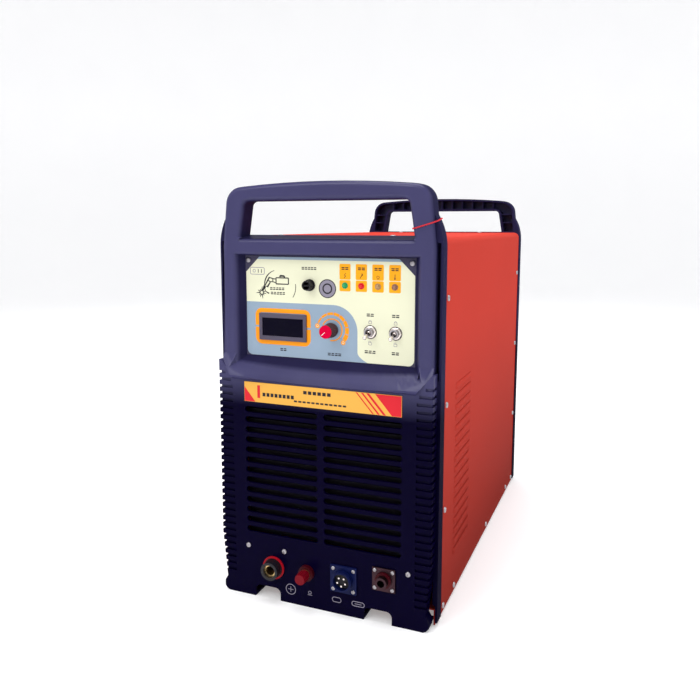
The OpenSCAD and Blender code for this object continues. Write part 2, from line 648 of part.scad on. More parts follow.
module cable_gland() color([0.07, 0.07, 0.08]) at_rear() difference() {
    union() {
        rod(gland_at[0], gland_at[1], 3, 19, 15.5);
        hex_rod(gland_at[0], gland_at[1], 18, plate_y, 18.5);
        rod(gland_at[0], gland_at[1], plate_y - 1, plate_y + 14, 13.9);
    }
    rod(gland_at[0], gland_at[1], 2, 60, cable_r);
}
module gland_nut() color([0.07, 0.07, 0.08]) at_rear() difference() {
    hex_rod(gland_at[0], gland_at[1], plate_y + plate_t, plate_y + 8, 18.5);
    rod(gland_at[0], gland_at[1], 2, 60, 13.95);
}
// Brass fitting through the rear wall
module air_inlet() color([0.72, 0.58, 0.30]) at_rear() difference() {
    union() {
        rod(inlet_at[0], inlet_at[1], -24, -5, inlet_r);
        hex_rod(inlet_at[0], inlet_at[1], -6, 0, 13);
        rod(inlet_at[0], inlet_at[1], -1, 30, 8);
        rod(inlet_at[0], inlet_at[1], 29, 50, 4);
    }
    rod(inlet_at[0], inlet_at[1], -25, 51, 2.6);
}
// Air pipe pushed over the tails of the inlet and the torch outlet
module air_pipe() color([0.10, 0.15, 0.40]) at_front()
    tube(torch_at[0], torch_at[1], 34, body_d - 34, 6, 4.02);
module ground_stud() color([0.78, 0.78, 0.76]) at_rear() {
    rod(ground_at[0], ground_at[1], -20, 14, 4);
    difference() {
        union() {
            hex_rod(ground_at[0], ground_at[1], -6.5, 0, 7.5);
            hex_rod(ground_at[0], ground_at[1], wall, wall + 6.5, 7.5);
        }
        rod(ground_at[0], ground_at[1], -7, 14, 3.9);
    }
}
fan_z = 190;
fan_arm_y = wall + 1;
fan_arm_t = 4;
// Square shroud, hub carrier and four arms, against the inside of the rear grille
module fan_frame() color([0.09, 0.09, 0.10]) at_rear() {
    difference() {
        block([-86, fan_arm_y + fan_arm_t, fan_z - 86], [86, 44, fan_z + 86]);
        rod(0, fan_z, wall, 45, 80);
    }
    difference() {
        union() {
            rod(0, fan_z, fan_arm_y, fan_arm_y + fan_arm_t, 30);
            block([-86, fan_arm_y, fan_z - 4], [86, fan_arm_y + fan_arm_t, fan_z + 4]);
            block([-4, fan_arm_y, fan_z - 86], [4, fan_arm_y + fan_arm_t, fan_z + 86]);
        }
        rod(0, fan_z, wall, fan_arm_y + fan_arm_t + 1, 6);
    }
}
module fan_motor() color([0.35, 0.35, 0.37]) at_rear() difference() {
    rod(0, fan_z, fan_arm_y + fan_arm_t, 34, 28);
    rod(0, fan_z, wall, 40, 4.05);
}
// Cupped hub on its shaft with seven pitched blades
module fan_rotor() color([0.10, 0.10, 0.11]) at_rear() {
    rod(0, fan_z, 10, 38, 4);
    difference() {
        rod(0, fan_z, 12, 40, 35);
        rod(0, fan_z, 11, 36.5, 30);
    }
    intersection() {
        difference() {
            rod(0, fan_z, 12, 40, 76);
            rod(0, fan_z, 11, 41, 34);
        }
        for (i = [0:6]) translate([0, 26, fan_z]) rotate([0, i * 360 / 7, 0])
            rotate([38, 0, 0]) block([30, -1.2, -24], [90, 1.2, 24]);
    }
}

// ---- inside ----
shelf_z = 236;
chassis_hw = 140;
module chassis() color([0.70, 0.70, 0.70]) at_front() {
    block([-chassis_hw, 120, shelf_z], [chassis_hw, 560, shelf_z + 2]);
    for (s = [0, 1]) mirror([s, 0, 0]) block([chassis_hw - 2, 120, 24], [chassis_hw, 560, shelf_z]);
}
core_y = [150, 340];
core_t = 60;
leg_hw_core = 16;
// Iron cores of the transformer and the output choke, each with two windows
module transformer_cores() color([0.30, 0.30, 0.32]) at_front() for (y = core_y) difference() {
    block([-72, y, 24], [72, y + core_t, 170]);
    for (s = [-1, 1]) block([s * 36 - 20, y - 1, 50], [s * 36 + 20, y + core_t + 1, 144]);
}
// A winding round each core's middle leg, through both of its windows
module transformer_windings() color([0.60, 0.33, 0.16]) at_front() for (y = core_y) difference() {
    block([-54, y - 16, 52], [54, y + core_t + 16, 142]);
    block([-leg_hw_core, y, 51], [leg_hw_core, y + core_t, 143]);
}
// Finned heat sinks on the shelf
module heat_sinks() color([0.66, 0.67, 0.70]) at_front() for (s = [0, 1]) mirror([s, 0, 0]) {
    block([12, 150, shelf_z + 2], [120, 500, shelf_z + 10]);
    for (i = [0:8]) block([12 + i * 13, 150, shelf_z + 9], [15 + i * 13, 500, shelf_z + 52]);
}
// Power cards on the fins, with their capacitors soldered in
module power_cards() color([0.10, 0.30, 0.20]) at_front() for (s = [0, 1]) mirror([s, 0, 0]) {
    block([12, 160, shelf_z + 52], [120, 490, shelf_z + 54]);
    for (i = [0:3]) translate([66, 200 + i * 80, shelf_z + 53]) cylinder(h = 70, r = 30);
}

// ---- thread looped round the right handle post ----
tie_r = 0.8;
tie_gap = 0.4;
tie_z = 530;
// Corners of the post as the loop meets it, with the direction that each edge before it faces
tie_corners = [[121, face_y, 180], [150.2, face_y, 270], [155, skirt_y, 300], [155, mould_d, 360],
    [121, mould_d, 450]];
tie_turn = [90, 30, 60, 90, 90];
tie_steps = 4;
tie_n = len(tie_corners) * (tie_steps + 1);
function tie_flat(i) = let (c = tie_corners[floor(i / (tie_steps + 1))],
    a = c[2] + tie_turn[floor(i / (tie_steps + 1))] * (i % (tie_steps + 1)) / tie_steps)
    [c[0] + (tie_r + tie_gap) * cos(a), c[1] + (tie_r + tie_gap) * sin(a)];
function tie_point(i) = let (p = tie_flat((i + tie_n) % tie_n))
    [p[0], p[1], tie_z + 0.30 * (p[0] - 138) + 0.15 * (p[1] - 24)];
function unit(v) = v / norm(v);
function tie_ring(i) = let (t = unit(tie_point(i + 1) - tie_point(i - 1)),
    u = unit(cross(t, [0, 0, 1])), w = cross(t, u))
    [for (k = [0:7]) tie_point(i) + tie_r * (cos(k * 45) * u + sin(k * 45) * w)];
module tie_thread() color([0.85, 0.05, 0.10]) at_front() polyhedron(
    points = [for (i = [0:tie_n - 1]) each tie_ring(i)],
    faces = [for (i = [0:tie_n - 1], k = [0:7]) let (j = (i + 1) % tie_n, m = (k + 1) % 8)
        [i * 8 + k, i * 8 + m, j * 8 + m, j * 8 + k]]);

front_bezel();
rear_bezel();
cover();
base_pan();
cover_screws();
face_screws();
control_plate();
control_overlay();
nameplate();
display_bezel();
display_window();
display_module();
potentiometer();
pot_shaft();
pot_nut();
current_knob();
knob_cap();
toggle_bodies();
toggle_lever_1();
toggle_lever_2();
toggle_nuts();
lamp_power();
lamp_cutting();
lamp_air();
lamp_heat();
fuse_holder();
fuse_link();
fuse_cap();
control_board();
board_standoffs();
work_socket();
work_socket_ring();
work_socket_insert();
pilot_stud();
pilot_base();
pilot_washer();
pilot_knob();
signal_socket();
signal_insert();
signal_pins();
torch_outlet();
torch_insulator();
outlet_screws();
rear_plate();
breaker();
breaker_lever();
cable_gland();
gland_nut();
air_inlet();
air_pipe();
ground_stud();
fan_frame();
fan_motor();
fan_rotor();
chassis();
transformer_cores();
transformer_windings();
heat_sinks();
power_cards();
tie_thread();
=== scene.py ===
import json
import math
import bmesh
import bpy
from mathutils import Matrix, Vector
from mathutils.geometry import convex_hull_2d


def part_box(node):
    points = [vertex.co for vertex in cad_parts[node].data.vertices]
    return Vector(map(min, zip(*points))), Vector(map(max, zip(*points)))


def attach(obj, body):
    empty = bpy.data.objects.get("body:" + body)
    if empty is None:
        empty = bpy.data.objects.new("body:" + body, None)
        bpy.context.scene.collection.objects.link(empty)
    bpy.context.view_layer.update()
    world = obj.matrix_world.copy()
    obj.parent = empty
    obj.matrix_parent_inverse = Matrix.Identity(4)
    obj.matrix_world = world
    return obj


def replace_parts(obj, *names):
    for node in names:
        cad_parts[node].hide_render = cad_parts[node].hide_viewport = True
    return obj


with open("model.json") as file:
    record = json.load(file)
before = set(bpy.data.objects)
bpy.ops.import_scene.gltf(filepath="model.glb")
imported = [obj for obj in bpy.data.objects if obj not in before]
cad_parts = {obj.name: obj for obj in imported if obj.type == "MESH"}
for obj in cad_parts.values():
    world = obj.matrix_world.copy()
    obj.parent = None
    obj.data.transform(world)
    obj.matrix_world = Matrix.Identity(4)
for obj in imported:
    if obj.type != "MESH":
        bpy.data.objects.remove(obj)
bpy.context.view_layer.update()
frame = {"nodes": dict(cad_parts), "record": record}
nodes = frame["nodes"]
mm = 0.001
endY = 0.320                     # the end faces lie at y = -endY and +endY
print("frame loaded:", len(nodes), "nodes")


def asObject(name, data):
    made = bpy.data.objects.new(name, data)
    bpy.context.scene.collection.objects.link(made)
    return made


def meshObject(name, bm):      # the shape as an object in the scene
    mesh = bpy.data.meshes.new(name)
    bm.to_mesh(mesh)
    bm.free()
    return asObject(name, mesh)


def skin(bm, rings, loop=False, ends=True):    # faces between rings of points, and over the two ends
    size = len(rings[0])
    for a, b in zip(rings, rings[1:] + (rings[:1] if loop else [])):
        for k in range(size):
            n = (k + 1) % size
            bm.faces.new((a[k], b[k], b[n], a[n]))
    if ends and not loop:
        bm.faces.new(rings[0][::-1])
        bm.faces.new(rings[-1])


# camera, floor and lights
view = {"place": (0.3851, -1.1528, 0.5280), "pitch": 7.62, "yaw": 22.32,
        "lens": 36.36, "sensor": 36, "shiftY": -0.0434}
camData = bpy.data.cameras.new("panelCamera")
camData.lens = view["lens"]
camData.sensor_width = view["sensor"]
camData.shift_y = view["shiftY"]
cam = asObject("panelCamera", camData)
cam.location = view["place"]
cam.rotation_euler = (math.radians(90 - view["pitch"]), 0, math.radians(view["yaw"]))
bpy.context.scene.camera = cam

lamps = {
    "keyBox": {"place": (-0.9, -2.1, 2.3), "aim": (0, -0.2, 0.45), "size": 1.3, "watts": 25},
    "sideBox": {"place": (2.2, -0.2, 2.2), "aim": (0.1, 0.1, 0.45), "size": 1.6, "watts": 13},
    "topBox": {"place": (0.0, -0.2, 2.8), "aim": (0, 0, 0.4), "size": 1.8, "watts": 62},
    "rearBox": {"place": (-1.4, 2.3, 1.9), "aim": (0, 0.2, 0.4), "size": 1.6, "watts": 18},
}
studio = {"sky": (0.95, 0.96, 1.0, 1), "skyStrength": 0.42, "glow": 0.27, "radius": 4.5, "rings": 6,
          "bend": 1.6, "wallTop": 8.0, "steps": 64,
          "haze": (0.76, 0.76, 0.77, 1), "white": (0.80, 0.80, 0.80, 1)}
for lampName, lamp in lamps.items():
    data = bpy.data.lights.new(lampName, "AREA")
    data.energy = lamp["watts"]
    data.size = lamp["size"]
    light = asObject(lampName, data)
    light.location = lamp["place"]
    beam = Vector(lamp["aim"]) - Vector(lamp["place"])
    light.rotation_euler = beam.to_track_quat("-Z", "Y").to_euler()
world = bpy.data.worlds.new("studio")
world.use_nodes = True
sky = world.node_tree.nodes["Background"]
sky.inputs["Color"].default_value = studio["sky"]
sky.inputs["Strength"].default_value = studio["skyStrength"]
bpy.context.scene.world = world
bpy.context.scene.view_settings.view_transform = "Standard"
print("camera and lights set")


# shader maths
class Wire:
    def __init__(self, shop, socket):
        self.shop, self.socket = shop, socket

    def calc(self, operation, first, second=0.0):
        return self.shop.node("ShaderNodeMath", {"operation": operation}, {0: first, 1: second})

    def __add__(self, other): return self.calc("ADD", self, other)
    def __radd__(self, other): return self.calc("ADD", other, self)
    def __sub__(self, other): return self.calc("SUBTRACT", self, other)
    def __rsub__(self, other): return self.calc("SUBTRACT", other, self)
    def __mul__(self, other): return self.calc("MULTIPLY", self, other)
    def __rmul__(self, other): return self.calc("MULTIPLY", other, self)
    def __truediv__(self, other): return self.calc("DIVIDE", self, other)
    def __rtruediv__(self, other): return self.calc("DIVIDE", other, self)
    def __gt__(self, other): return self.calc("GREATER_THAN", self, other)
    def __lt__(self, other): return self.calc("LESS_THAN", self, other)
    def absolute(self): return self.calc("ABSOLUTE", self)
    def smaller(self, other): return self.calc("MINIMUM", self, other)
    def larger(self, other): return self.calc("MAXIMUM", self, other)


class Shop:
    def __init__(self, name):
        self.material = bpy.data.materials.new(name)
        self.material.use_nodes = True
        self.tree = self.material.node_tree
        self.shader = self.tree.nodes["Principled BSDF"]
        self.coords = self.tree.nodes.new("ShaderNodeTexCoord").outputs["Object"]

    def node(self, kind, settings, sockets, out=0):     # settings come before the sockets they change
        made = self.tree.nodes.new(kind)
        for key, value in settings.items():
            setattr(made, key, value)
        for key, value in sockets.items():
            self.join(made.inputs[key], value)
        return Wire(self, made.outputs[out])

    def join(self, socket, value):
        if isinstance(value, Wire):
            self.tree.links.new(value.socket, socket)
        else:
            socket.default_value = value

    def feed(self, **values):
        for key, value in values.items():
            self.join(self.shader.inputs[key.replace("_", " ")], value)

    def place(self, axis):
        return self.node("ShaderNodeSeparateXYZ", {}, {0: Wire(self, self.coords)}, out=axis)

    def cloud(self, scale, detail=3.0, stretch=(1, 1, 1)):      # soft noise for wear and variation
        where = self.node("ShaderNodeMapping", {}, {"Vector": Wire(self, self.coords), "Scale": stretch})
        return self.node("ShaderNodeTexNoise", {},
                         {"Vector": where, "Scale": scale, "Detail": detail, "Roughness": 0.55})

    def blend(self, mask, first, second):
        return self.node("ShaderNodeMix", {"data_type": "RGBA"}, {0: mask, 6: first, 7: second}, out=2)

    def bumps(self, height, strength, distance):
        return self.node("ShaderNodeBump", {}, {"Height": height, "Strength": strength, "Distance": distance})


def studioFloor():             # a wide round floor that rises at its far edge
    radius, bend, steps = studio["radius"], studio["bend"], studio["steps"]
    profile = [(radius * k / studio["rings"], 0.0) for k in range(1, studio["rings"] + 1)]
    for turn in range(10, 91, 10):
        lean = math.radians(turn)
        profile.append((radius + bend * math.sin(lean), bend - bend * math.cos(lean)))
    profile.append((radius + bend, studio["wallTop"]))
    circle = [2 * math.pi * i / steps for i in range(steps)]
    bm = bmesh.new()
    rings = [[bm.verts.new((r * math.cos(a), r * math.sin(a), z)) for a in circle] for r, z in profile]
    bm.faces.new(rings[0])
    skin(bm, rings, ends=False)
    for face in bm.faces:
        face.smooth = True
    floor = meshObject("studioFloor", bm)
    shop = Shop("floorWhite")
    haze = shop.cloud(2.5, 2)
    shop.feed(Base_Color=shop.blend(haze, studio["haze"], studio["white"]), Roughness=0.6 + 0.1 * haze)
    shop.feed(Emission_Color=(1, 1, 1, 1), Emission_Strength=studio["glow"])
    floor.data.materials.append(shop.material)


studioFloor()


def shade(colour, factor):
    return tuple(min(1.0, c * factor) for c in colour[:3]) + (1,)


# painted shade: the moulding is darker and duller in its sunk faces and towards the floor, where less light
# falls, in metres
mouldShade = {"sunkFrom": 0.3095, "sunkOver": 0.0055, "sunkMix": 0.62, "darkUpTo": 0.28, "darkOver": 0.045,
           "dull": 0.1}


def mouldedPlastic(name, colour, roughness=0.42, grain=1.0, coat=0.0, foot=None, shine=0.28):
    shop = Shop(name)          # foot is the painted shade colour near the floor and in the sunk faces
    broad = shop.cloud(9, 2)
    fine = shop.cloud(1500, 2)
    scuffs = shop.cloud(60, 5, (1, 1, 3))
    base = shop.blend(broad, shade(colour, 0.85), shade(colour, 1.18))
    if foot:
        # painted shade: the deep faces and the lower body turn towards the foot colour, and the coat thins
        # there
        sunk = ((mouldShade["sunkFrom"] - shop.place(1).absolute()) / mouldShade["sunkOver"]).larger(0.0).smaller(1.0)
        base = shop.blend(sunk * mouldShade["sunkMix"], base, shade(foot, 1.0))
        rise = ((shop.place(2) - mouldShade["darkUpTo"]) / mouldShade["darkOver"]).larger(0.0).smaller(1.0)
        base = shop.blend(rise, shade(foot, 1.0), base)
        coat = coat * (mouldShade["dull"] + (1 - mouldShade["dull"]) * rise * (1 - sunk))
    shop.feed(Base_Color=base, Roughness=roughness - 0.06 + 0.08 * scuffs + 0.06 * broad,
              Normal=shop.bumps(fine + 0.4 * scuffs, 0.16 * grain, 0.0003))
    shop.feed(Coat_Weight=coat, Coat_Roughness=0.26, Specular_IOR_Level=shine)
    return shop.material


lacquerShade = {"darkFrom": 0.03, "darkOver": 0.36}      # painted shade that darkens the paint towards the floor, in metres above the floor


def lacquer(name, colour, roughness=0.36, coat=0.05, shine=0.12, foot=1.0):
    shop = Shop(name)          # foot is how much of the colour is left at the floor, a painted shade
    broad = shop.cloud(5, 3)
    peel = shop.cloud(260, 2)
    dust = shop.cloud(900, 4)
    base = shop.blend(broad, shade(colour, 0.93), shade(colour, 1.07))
    if foot < 1:
        rise = ((shop.place(2) - lacquerShade["darkFrom"]) / lacquerShade["darkOver"]).larger(0.0).smaller(1.0)
        base = shop.blend(rise, shade(colour, foot), base)
    shop.feed(Base_Color=base,
              Roughness=roughness - 0.04 + 0.08 * broad + 0.05 * dust,
              Normal=shop.bumps(peel + 0.3 * dust, 0.10, 0.0004))
    shop.feed(Coat_Weight=coat, Coat_Roughness=0.06, Specular_IOR_Level=shine)
    return shop.material


def barMetal(name, colour, roughness=0.26, stretch=(1, 40, 1), depth=0.10):
    shop = Shop(name)
    lines = shop.cloud(420, 3, stretch)
    broad = shop.cloud(40, 3)
    shop.feed(Base_Color=shop.blend(broad, shade(colour, 0.86), shade(colour, 1.10)),
              Roughness=roughness - 0.05 + 0.12 * lines + 0.05 * broad,
              Normal=shop.bumps(lines, depth, 0.0003))
    shop.feed(Metallic=1.0)
    return shop.material


def lensPlastic(name, colour, glow, coat=0.8, shine=0.4):
    shop = Shop(name)
    broad = shop.cloud(400, 2)
    shop.feed(Base_Color=shop.blend(broad, shade(colour, 0.75), shade(colour, 1.2)),
              Roughness=0.16 + 0.08 * broad, Normal=shop.bumps(broad, 0.05, 0.0003))
    shop.feed(Coat_Weight=coat, Coat_Roughness=0.04, Emission_Color=shade(colour, 1.0), Emission_Strength=glow,
              Specular_IOR_Level=shine)
    return shop.material


# border of the slate field on the panel, in metres from the middle of the machine
slateField = {"side": 0.0442, "flareBelow": 0.361, "flare": 78.0, "cornerX": 0.009, "cornerZ": 0.3873,
              "radius": 0.0352, "top": 0.4225, "bandFrom": 0.4815}


def printedFilm(name, cream, slate):
    shop = Shop(name)
    x, z = shop.place(0), shop.place(2)
    below = (slateField["flareBelow"] - z).larger(0.0)
    side = slateField["side"] + (below * below) * slateField["flare"]
    cornerX, cornerZ = (x - slateField["cornerX"]).larger(0.0), (z - slateField["cornerZ"]).larger(0.0)
    rounded = (cornerX * cornerX + cornerZ * cornerZ) < slateField["radius"] ** 2
    field = (x < side) * (z < slateField["top"]) * rounded.larger(z < slateField["cornerZ"])
    band = z > slateField["bandFrom"]
    broad = shop.cloud(14, 3)
    speck = shop.cloud(1400, 2)
    paper = shop.blend(broad, shade(cream, 0.95), shade(cream, 1.04))
    ink = shop.blend(broad, shade(slate, 0.93), shade(slate, 1.06))
    shop.feed(Base_Color=shop.blend(field.larger(band), paper, ink), Roughness=0.34 + 0.08 * speck,
              Normal=shop.bumps(speck, 0.05, 0.0002))
    shop.feed(Coat_Weight=0.25, Coat_Roughness=0.2)
    return shop.material


def windingWire(name, colour):
    shop = Shop(name)
    turns = shop.node("ShaderNodeTexWave", {"bands_direction": "Z"},
                      {"Vector": Wire(shop, shop.coords), "Scale": 90.0})
    shop.feed(Base_Color=shop.blend(turns, shade(colour, 0.5), shade(colour, 1.15)),
              Roughness=0.3 + 0.15 * turns, Normal=shop.bumps(turns, 0.6, 0.001))
    shop.feed(Coat_Weight=0.5)
    return shop.material


def twistedThread(name, colour):
    shop = Shop(name)
    twist = shop.node("ShaderNodeTexWave", {"bands_direction": "DIAGONAL"},
                      {"Vector": Wire(shop, shop.coords), "Scale": 420.0, "Distortion": 1.5})
    shop.feed(Base_Color=shop.blend(twist, shade(colour, 0.55), shade(colour, 1.2)),
              Roughness=0.7 + 0.1 * twist, Normal=shop.bumps(twist, 0.5, 0.0004))
    return shop.material


def circuitBoard(name, colour):
    shop = Shop(name)
    cells = shop.node("ShaderNodeTexVoronoi", {"feature": "DISTANCE_TO_EDGE"},
                      {"Vector": Wire(shop, shop.coords), "Scale": 130.0})
    track = cells < 0.05
    broad = shop.cloud(30, 3)
    resist = shop.blend(broad, shade(colour, 0.8), shade(colour, 1.2))
    shop.feed(Base_Color=shop.blend(track, resist, shade(colour, 2.2)),
              Roughness=0.35 + 0.1 * broad, Normal=shop.bumps(track, 0.3, 0.0002))
    return shop.material


finish = {
    # the bezel's foot colour is the painted shade of its sunk faces and lower body
    "bezel_plastic": mouldedPlastic("mouldingIndigo", (0.040, 0.037, 0.108), 0.38, 1.0, coat=0.5,
                                    foot=(0.0014, 0.0005, 0.0120), shine=0.0),
    # the cover's foot of 0.45 paints shade on its lower sides
    "cover_paint": lacquer("coverOrange", (0.50, 0.046, 0.032), 0.40, 0.03, 0.0, 0.45),
    "zinc_screws": barMetal("screwZinc", (0.38, 0.36, 0.38), 0.28),
    "plate_steel": lacquer("plateGrey", (0.050, 0.045, 0.085), 0.4, 0.1),
    "overlay_print": printedFilm("panelFilm", (0.76, 0.76, 0.55), (0.250, 0.340, 0.445)),
    "nameplate_foil": lacquer("stripYellow", (0.74, 0.38, 0.065), 0.40, 0.05),
    "display_frame": mouldedPlastic("displayFrameGrey", (0.075, 0.065, 0.10), 0.45, 0.8),
    "display_glass": lensPlastic("displayGlass", (0.0015, 0.0008, 0.008), 0.0, 0.0, 0.06),
    "green_board": circuitBoard("boardGreen", (0.02, 0.12, 0.05)),
    "knob_plastic": mouldedPlastic("knobDark", (0.050, 0.022, 0.028), 0.5, 1.2),
    "red_plastic": mouldedPlastic("knobRed", (0.58, 0.0003, 0.036), 0.45, 0.6, shine=0.03),
    "chrome_metal": barMetal("leverChrome", (0.84, 0.76, 0.72), 0.14, (1, 1, 1), 0.02),
    "green_lens": lensPlastic("lensGreen", (0.0, 0.30, 0.10), 0.15, 0.3),
    "red_lens": lensPlastic("lensRed", (0.62, 0.0, 0.012), 0.15, 0.3),
    "amber_lens": lensPlastic("lensAmber", (0.42, 0.24, 0.09), 0.0),
    "brown_lens": lensPlastic("lensBrown", (0.27, 0.12, 0.07), 0.0),
    "black_plastic": mouldedPlastic("fittingBlack", (0.006, 0.005, 0.009), 0.42, 1.0),
    # outletNickel and socketBlue are dark of their own and darkened further as painted shade for the low front
    # of the machine
    "dark_nickel": barMetal("outletNickel", (0.050, 0.026, 0.032), 0.34),
    "brass_metal": barMetal("turnedBrass", (0.66, 0.46, 0.20), 0.26),
    "dark_red_plastic": mouldedPlastic("insulatorRed", (0.040, 0.001, 0.004), 0.4, 0.8, shine=0.12),
    "blue_plastic": mouldedPlastic("socketBlue", (0.002, 0.005, 0.045), 0.38, 0.8, shine=0.12),
    "core_iron": mouldedPlastic("ferriteGrey", (0.045, 0.045, 0.05), 0.6, 2.0),
    "winding_copper": windingWire("lacqueredCopper", (0.42, 0.13, 0.05)),
    "sink_aluminium": barMetal("finAluminium", (0.68, 0.69, 0.71), 0.34),
    "thread_fibre": twistedThread("threadRed", (0.70, 0.012, 0.03)),
}
inks = {
    "orangeInk": mouldedPlastic("inkOrange", (0.95, 0.30, 0.0), 0.5, 0.2),
    "yellowInk": mouldedPlastic("inkYellow", (0.92, 0.36, 0.0), 0.5, 0.2),
    "darkInk": mouldedPlastic("inkDark", (0.010, 0.008, 0.014), 0.5, 0.2),
    "greyInk": mouldedPlastic("inkGrey", (0.24, 0.22, 0.28), 0.5, 0.2),
    "redInk": mouldedPlastic("inkRed", (0.62, 0.006, 0.018), 0.45, 0.2),
    "whiteInk": mouldedPlastic("inkWhite", (0.78, 0.78, 0.80), 0.45, 0.2),
    "creamInk": mouldedPlastic("inkCream", (0.86, 0.80, 0.62), 0.45, 0.2),
}
pilotRed = mouldedPlastic("pilotRed", (0.15, 0.002, 0.008), 0.36, 0.6, shine=0.10)
ringRed = mouldedPlastic("ringRed", (0.34, 0.004, 0.012), 0.38, 0.6, shine=0.10)
special = {"pilot_knob": pilotRed, "work_socket_ring": ringRed}       # two dark reds of their own, made darker still as painted shade for the low front of the machine
for entry in frame["record"]["subparts"]:
    part = nodes[entry["node"]]
    if not part.data.materials:
        part.data.materials.append(None)
    for materialSlot in part.material_slots:
        materialSlot.material = special.get(entry["node"], finish[entry["material_slot"]])
print("materials made:", len(finish) + len(inks))


# making pieces
def evaluated(piece):          # the plain mesh that the modifiers leave
    graph = bpy.context.evaluated_depsgraph_get()
    graph.update()
    return bpy.data.meshes.new_from_object(piece.evaluated_get(graph), depsgraph=graph)


def fromMesh(name, bm, slot, material=None, body="machine", sharp=35, cutFromFrame=False):
    if not cutFromFrame:       # a mesh cut from the frame's own already faces outwards
        bmesh.ops.recalc_face_normals(bm, faces=bm.faces)
    for face in bm.faces:
        face.smooth = True
    for edge in bm.edges:
        edge.smooth = len(edge.link_faces) == 2 and edge.calc_face_angle(0) < math.radians(sharp)
    piece = meshObject(name, bm)
    piece.data.materials.append(material or finish[slot])
    if cutFromFrame:
        flatter = piece.modifiers.new("flatFaces", "WEIGHTED_NORMAL")
        flatter.keep_sharp, flatter.weight = True, 90
        calm = evaluated(piece)
        piece.modifiers.clear()
        piece.data = calm
    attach(piece, body)
    return piece


def merged(mesh):              # a copy with its doubles merged and its flat faces joined
    bm = bmesh.new()
    bm.from_mesh(mesh)
    bmesh.ops.remove_doubles(bm, verts=bm.verts, dist=1e-5)
    bmesh.ops.dissolve_limit(bm, angle_limit=math.radians(1), verts=bm.verts, edges=bm.edges)
    return bm


def patch(bm, outline, yFront, yBack):         # a flat print or plate from (x, z) in millimetres
    area = sum(a[0] * b[1] - b[0] * a[1] for a, b in zip(outline, outline[1:] + outline[:1]))
    points = outline if area > 0 else outline[::-1]
    front = [bm.verts.new((x * mm, yFront, z * mm)) for x, z in points]
    back = [bm.verts.new((x * mm, yBack, z * mm)) for x, z in points]
    skin(bm, [back, front])


def ribbon(bm, path, widths, yFront, yBack, closed=False):   # a printed line of changing width
    count = len(path)
    widths = widths if isinstance(widths, list) else [widths] * count
    rings = []
    for i, (x, z) in enumerate(path):
        before = path[i - 1] if closed or i else path[i]
        after = path[(i + 1) % count] if closed or i < count - 1 else path[i]
        along = Vector((after[0] - before[0], after[1] - before[1])).normalized()
        side = Vector((-along[1], along[0]))
        first = Vector((x - before[0], z - before[1]))
        corner = 1.0
        if first.length > 1e-6:
            normal = Vector((-first[1], first[0])).normalized()
            corner = 1 / max(0.5, abs(normal.dot(side)))
        reach = side * widths[i] / 2 * corner
        rings.append([bm.verts.new(((x + s * reach[0]) * mm, y, (z + s * reach[1]) * mm))
                      for s, y in ((1, yFront), (-1, yFront), (-1, yBack), (1, yBack))])
    skin(bm, rings, loop=closed)


def arc(cx, cz, radius, start, end, steps):
    return [(cx + radius * math.cos(math.radians(start + (end - start) * i / steps)),
             cz + radius * math.sin(math.radians(start + (end - start) * i / steps))) for i in range(steps + 1)]


def roundedBox(x0, x1, z0, z1, radius, steps=5):
    corners = ((x1 - radius, z1 - radius, 0), (x0 + radius, z1 - radius, 90),
               (x0 + radius, z0 + radius, 180), (x1 - radius, z0 + radius, 270))
    return [point for x, z, turn in corners for point in arc(x, z, radius, turn, turn + 90, steps)]


def turned(bm, profile, at, along=(0, -1, 0), steps=48, flutes=0, depth=0.0):
    # a lathe shape from (radius, height) in millimetres, with shallow flutes where they are asked for
    aim = Vector(along).normalized().to_track_quat("Z", "Y").to_matrix()
    rings = []
    for radius, height in profile:
        if radius < 1e-6:
            rings.append([bm.verts.new(Vector(at) + aim @ Vector((0, 0, height * mm)))])
            continue
        ring = []
        for i in range(steps):
            angle = 2 * math.pi * i / steps
            reach = radius * (1 - depth * (0.5 - 0.5 * math.cos(flutes * angle))) if flutes else radius
            spoke = Vector((reach * mm * math.cos(angle), reach * mm * math.sin(angle), height * mm))
            ring.append(bm.verts.new(Vector(at) + aim @ spoke))
        rings.append(ring)
    for a, b in zip(rings, rings[1:]):
        for i in range(steps):
            j = (i + 1) % steps
            if len(a) == 1 and len(b) == 1:
                continue
            if len(a) == 1:
                bm.faces.new((a[0], b[i], b[j]))
            elif len(b) == 1:
                bm.faces.new((a[i], b[0], a[j]))
            else:
                bm.faces.new((a[i], b[i], b[j], a[j]))
    if len(rings[0]) > 1 and len(rings[-1]) > 1 and profile[0] != profile[-1]:
        bm.faces.new(rings[0])
        bm.faces.new(rings[-1][::-1])


# Geometry Nodes trees for what repeats
def newTree(name, inputs):
    tree = bpy.data.node_groups.new(name, "GeometryNodeTree")
    tree.interface.new_socket("Geometry", in_out="INPUT", socket_type="NodeSocketGeometry")
    for label, kind in inputs:
        tree.interface.new_socket(label, in_out="INPUT", socket_type=kind)
    tree.interface.new_socket("Geometry", in_out="OUTPUT", socket_type="NodeSocketGeometry")
    return tree, tree.nodes.new("NodeGroupInput"), tree.nodes.new("NodeGroupOutput")


def added(tree, kind, settings=None, **joined):
    made = tree.nodes.new(kind)
    for key, value in (settings or {}).items():
        setattr(made, key, value)
    for key, value in joined.items():
        socket = made.inputs[key.replace("_", " ")]
        if hasattr(value, "is_linked"):
            tree.links.new(value, socket)
        else:
            socket.default_value = value
    return made


def finished(tree, copies, source, sink):      # real meshes with their material, the end of both trees
    real = added(tree, "GeometryNodeRealizeInstances", None, Geometry=copies.outputs[0])
    painted = added(tree, "GeometryNodeSetMaterial", None, Geometry=real.outputs[0],
                    Material=source.outputs["Finish"])
    tree.links.new(painted.outputs[0], sink.inputs[0])
    return tree


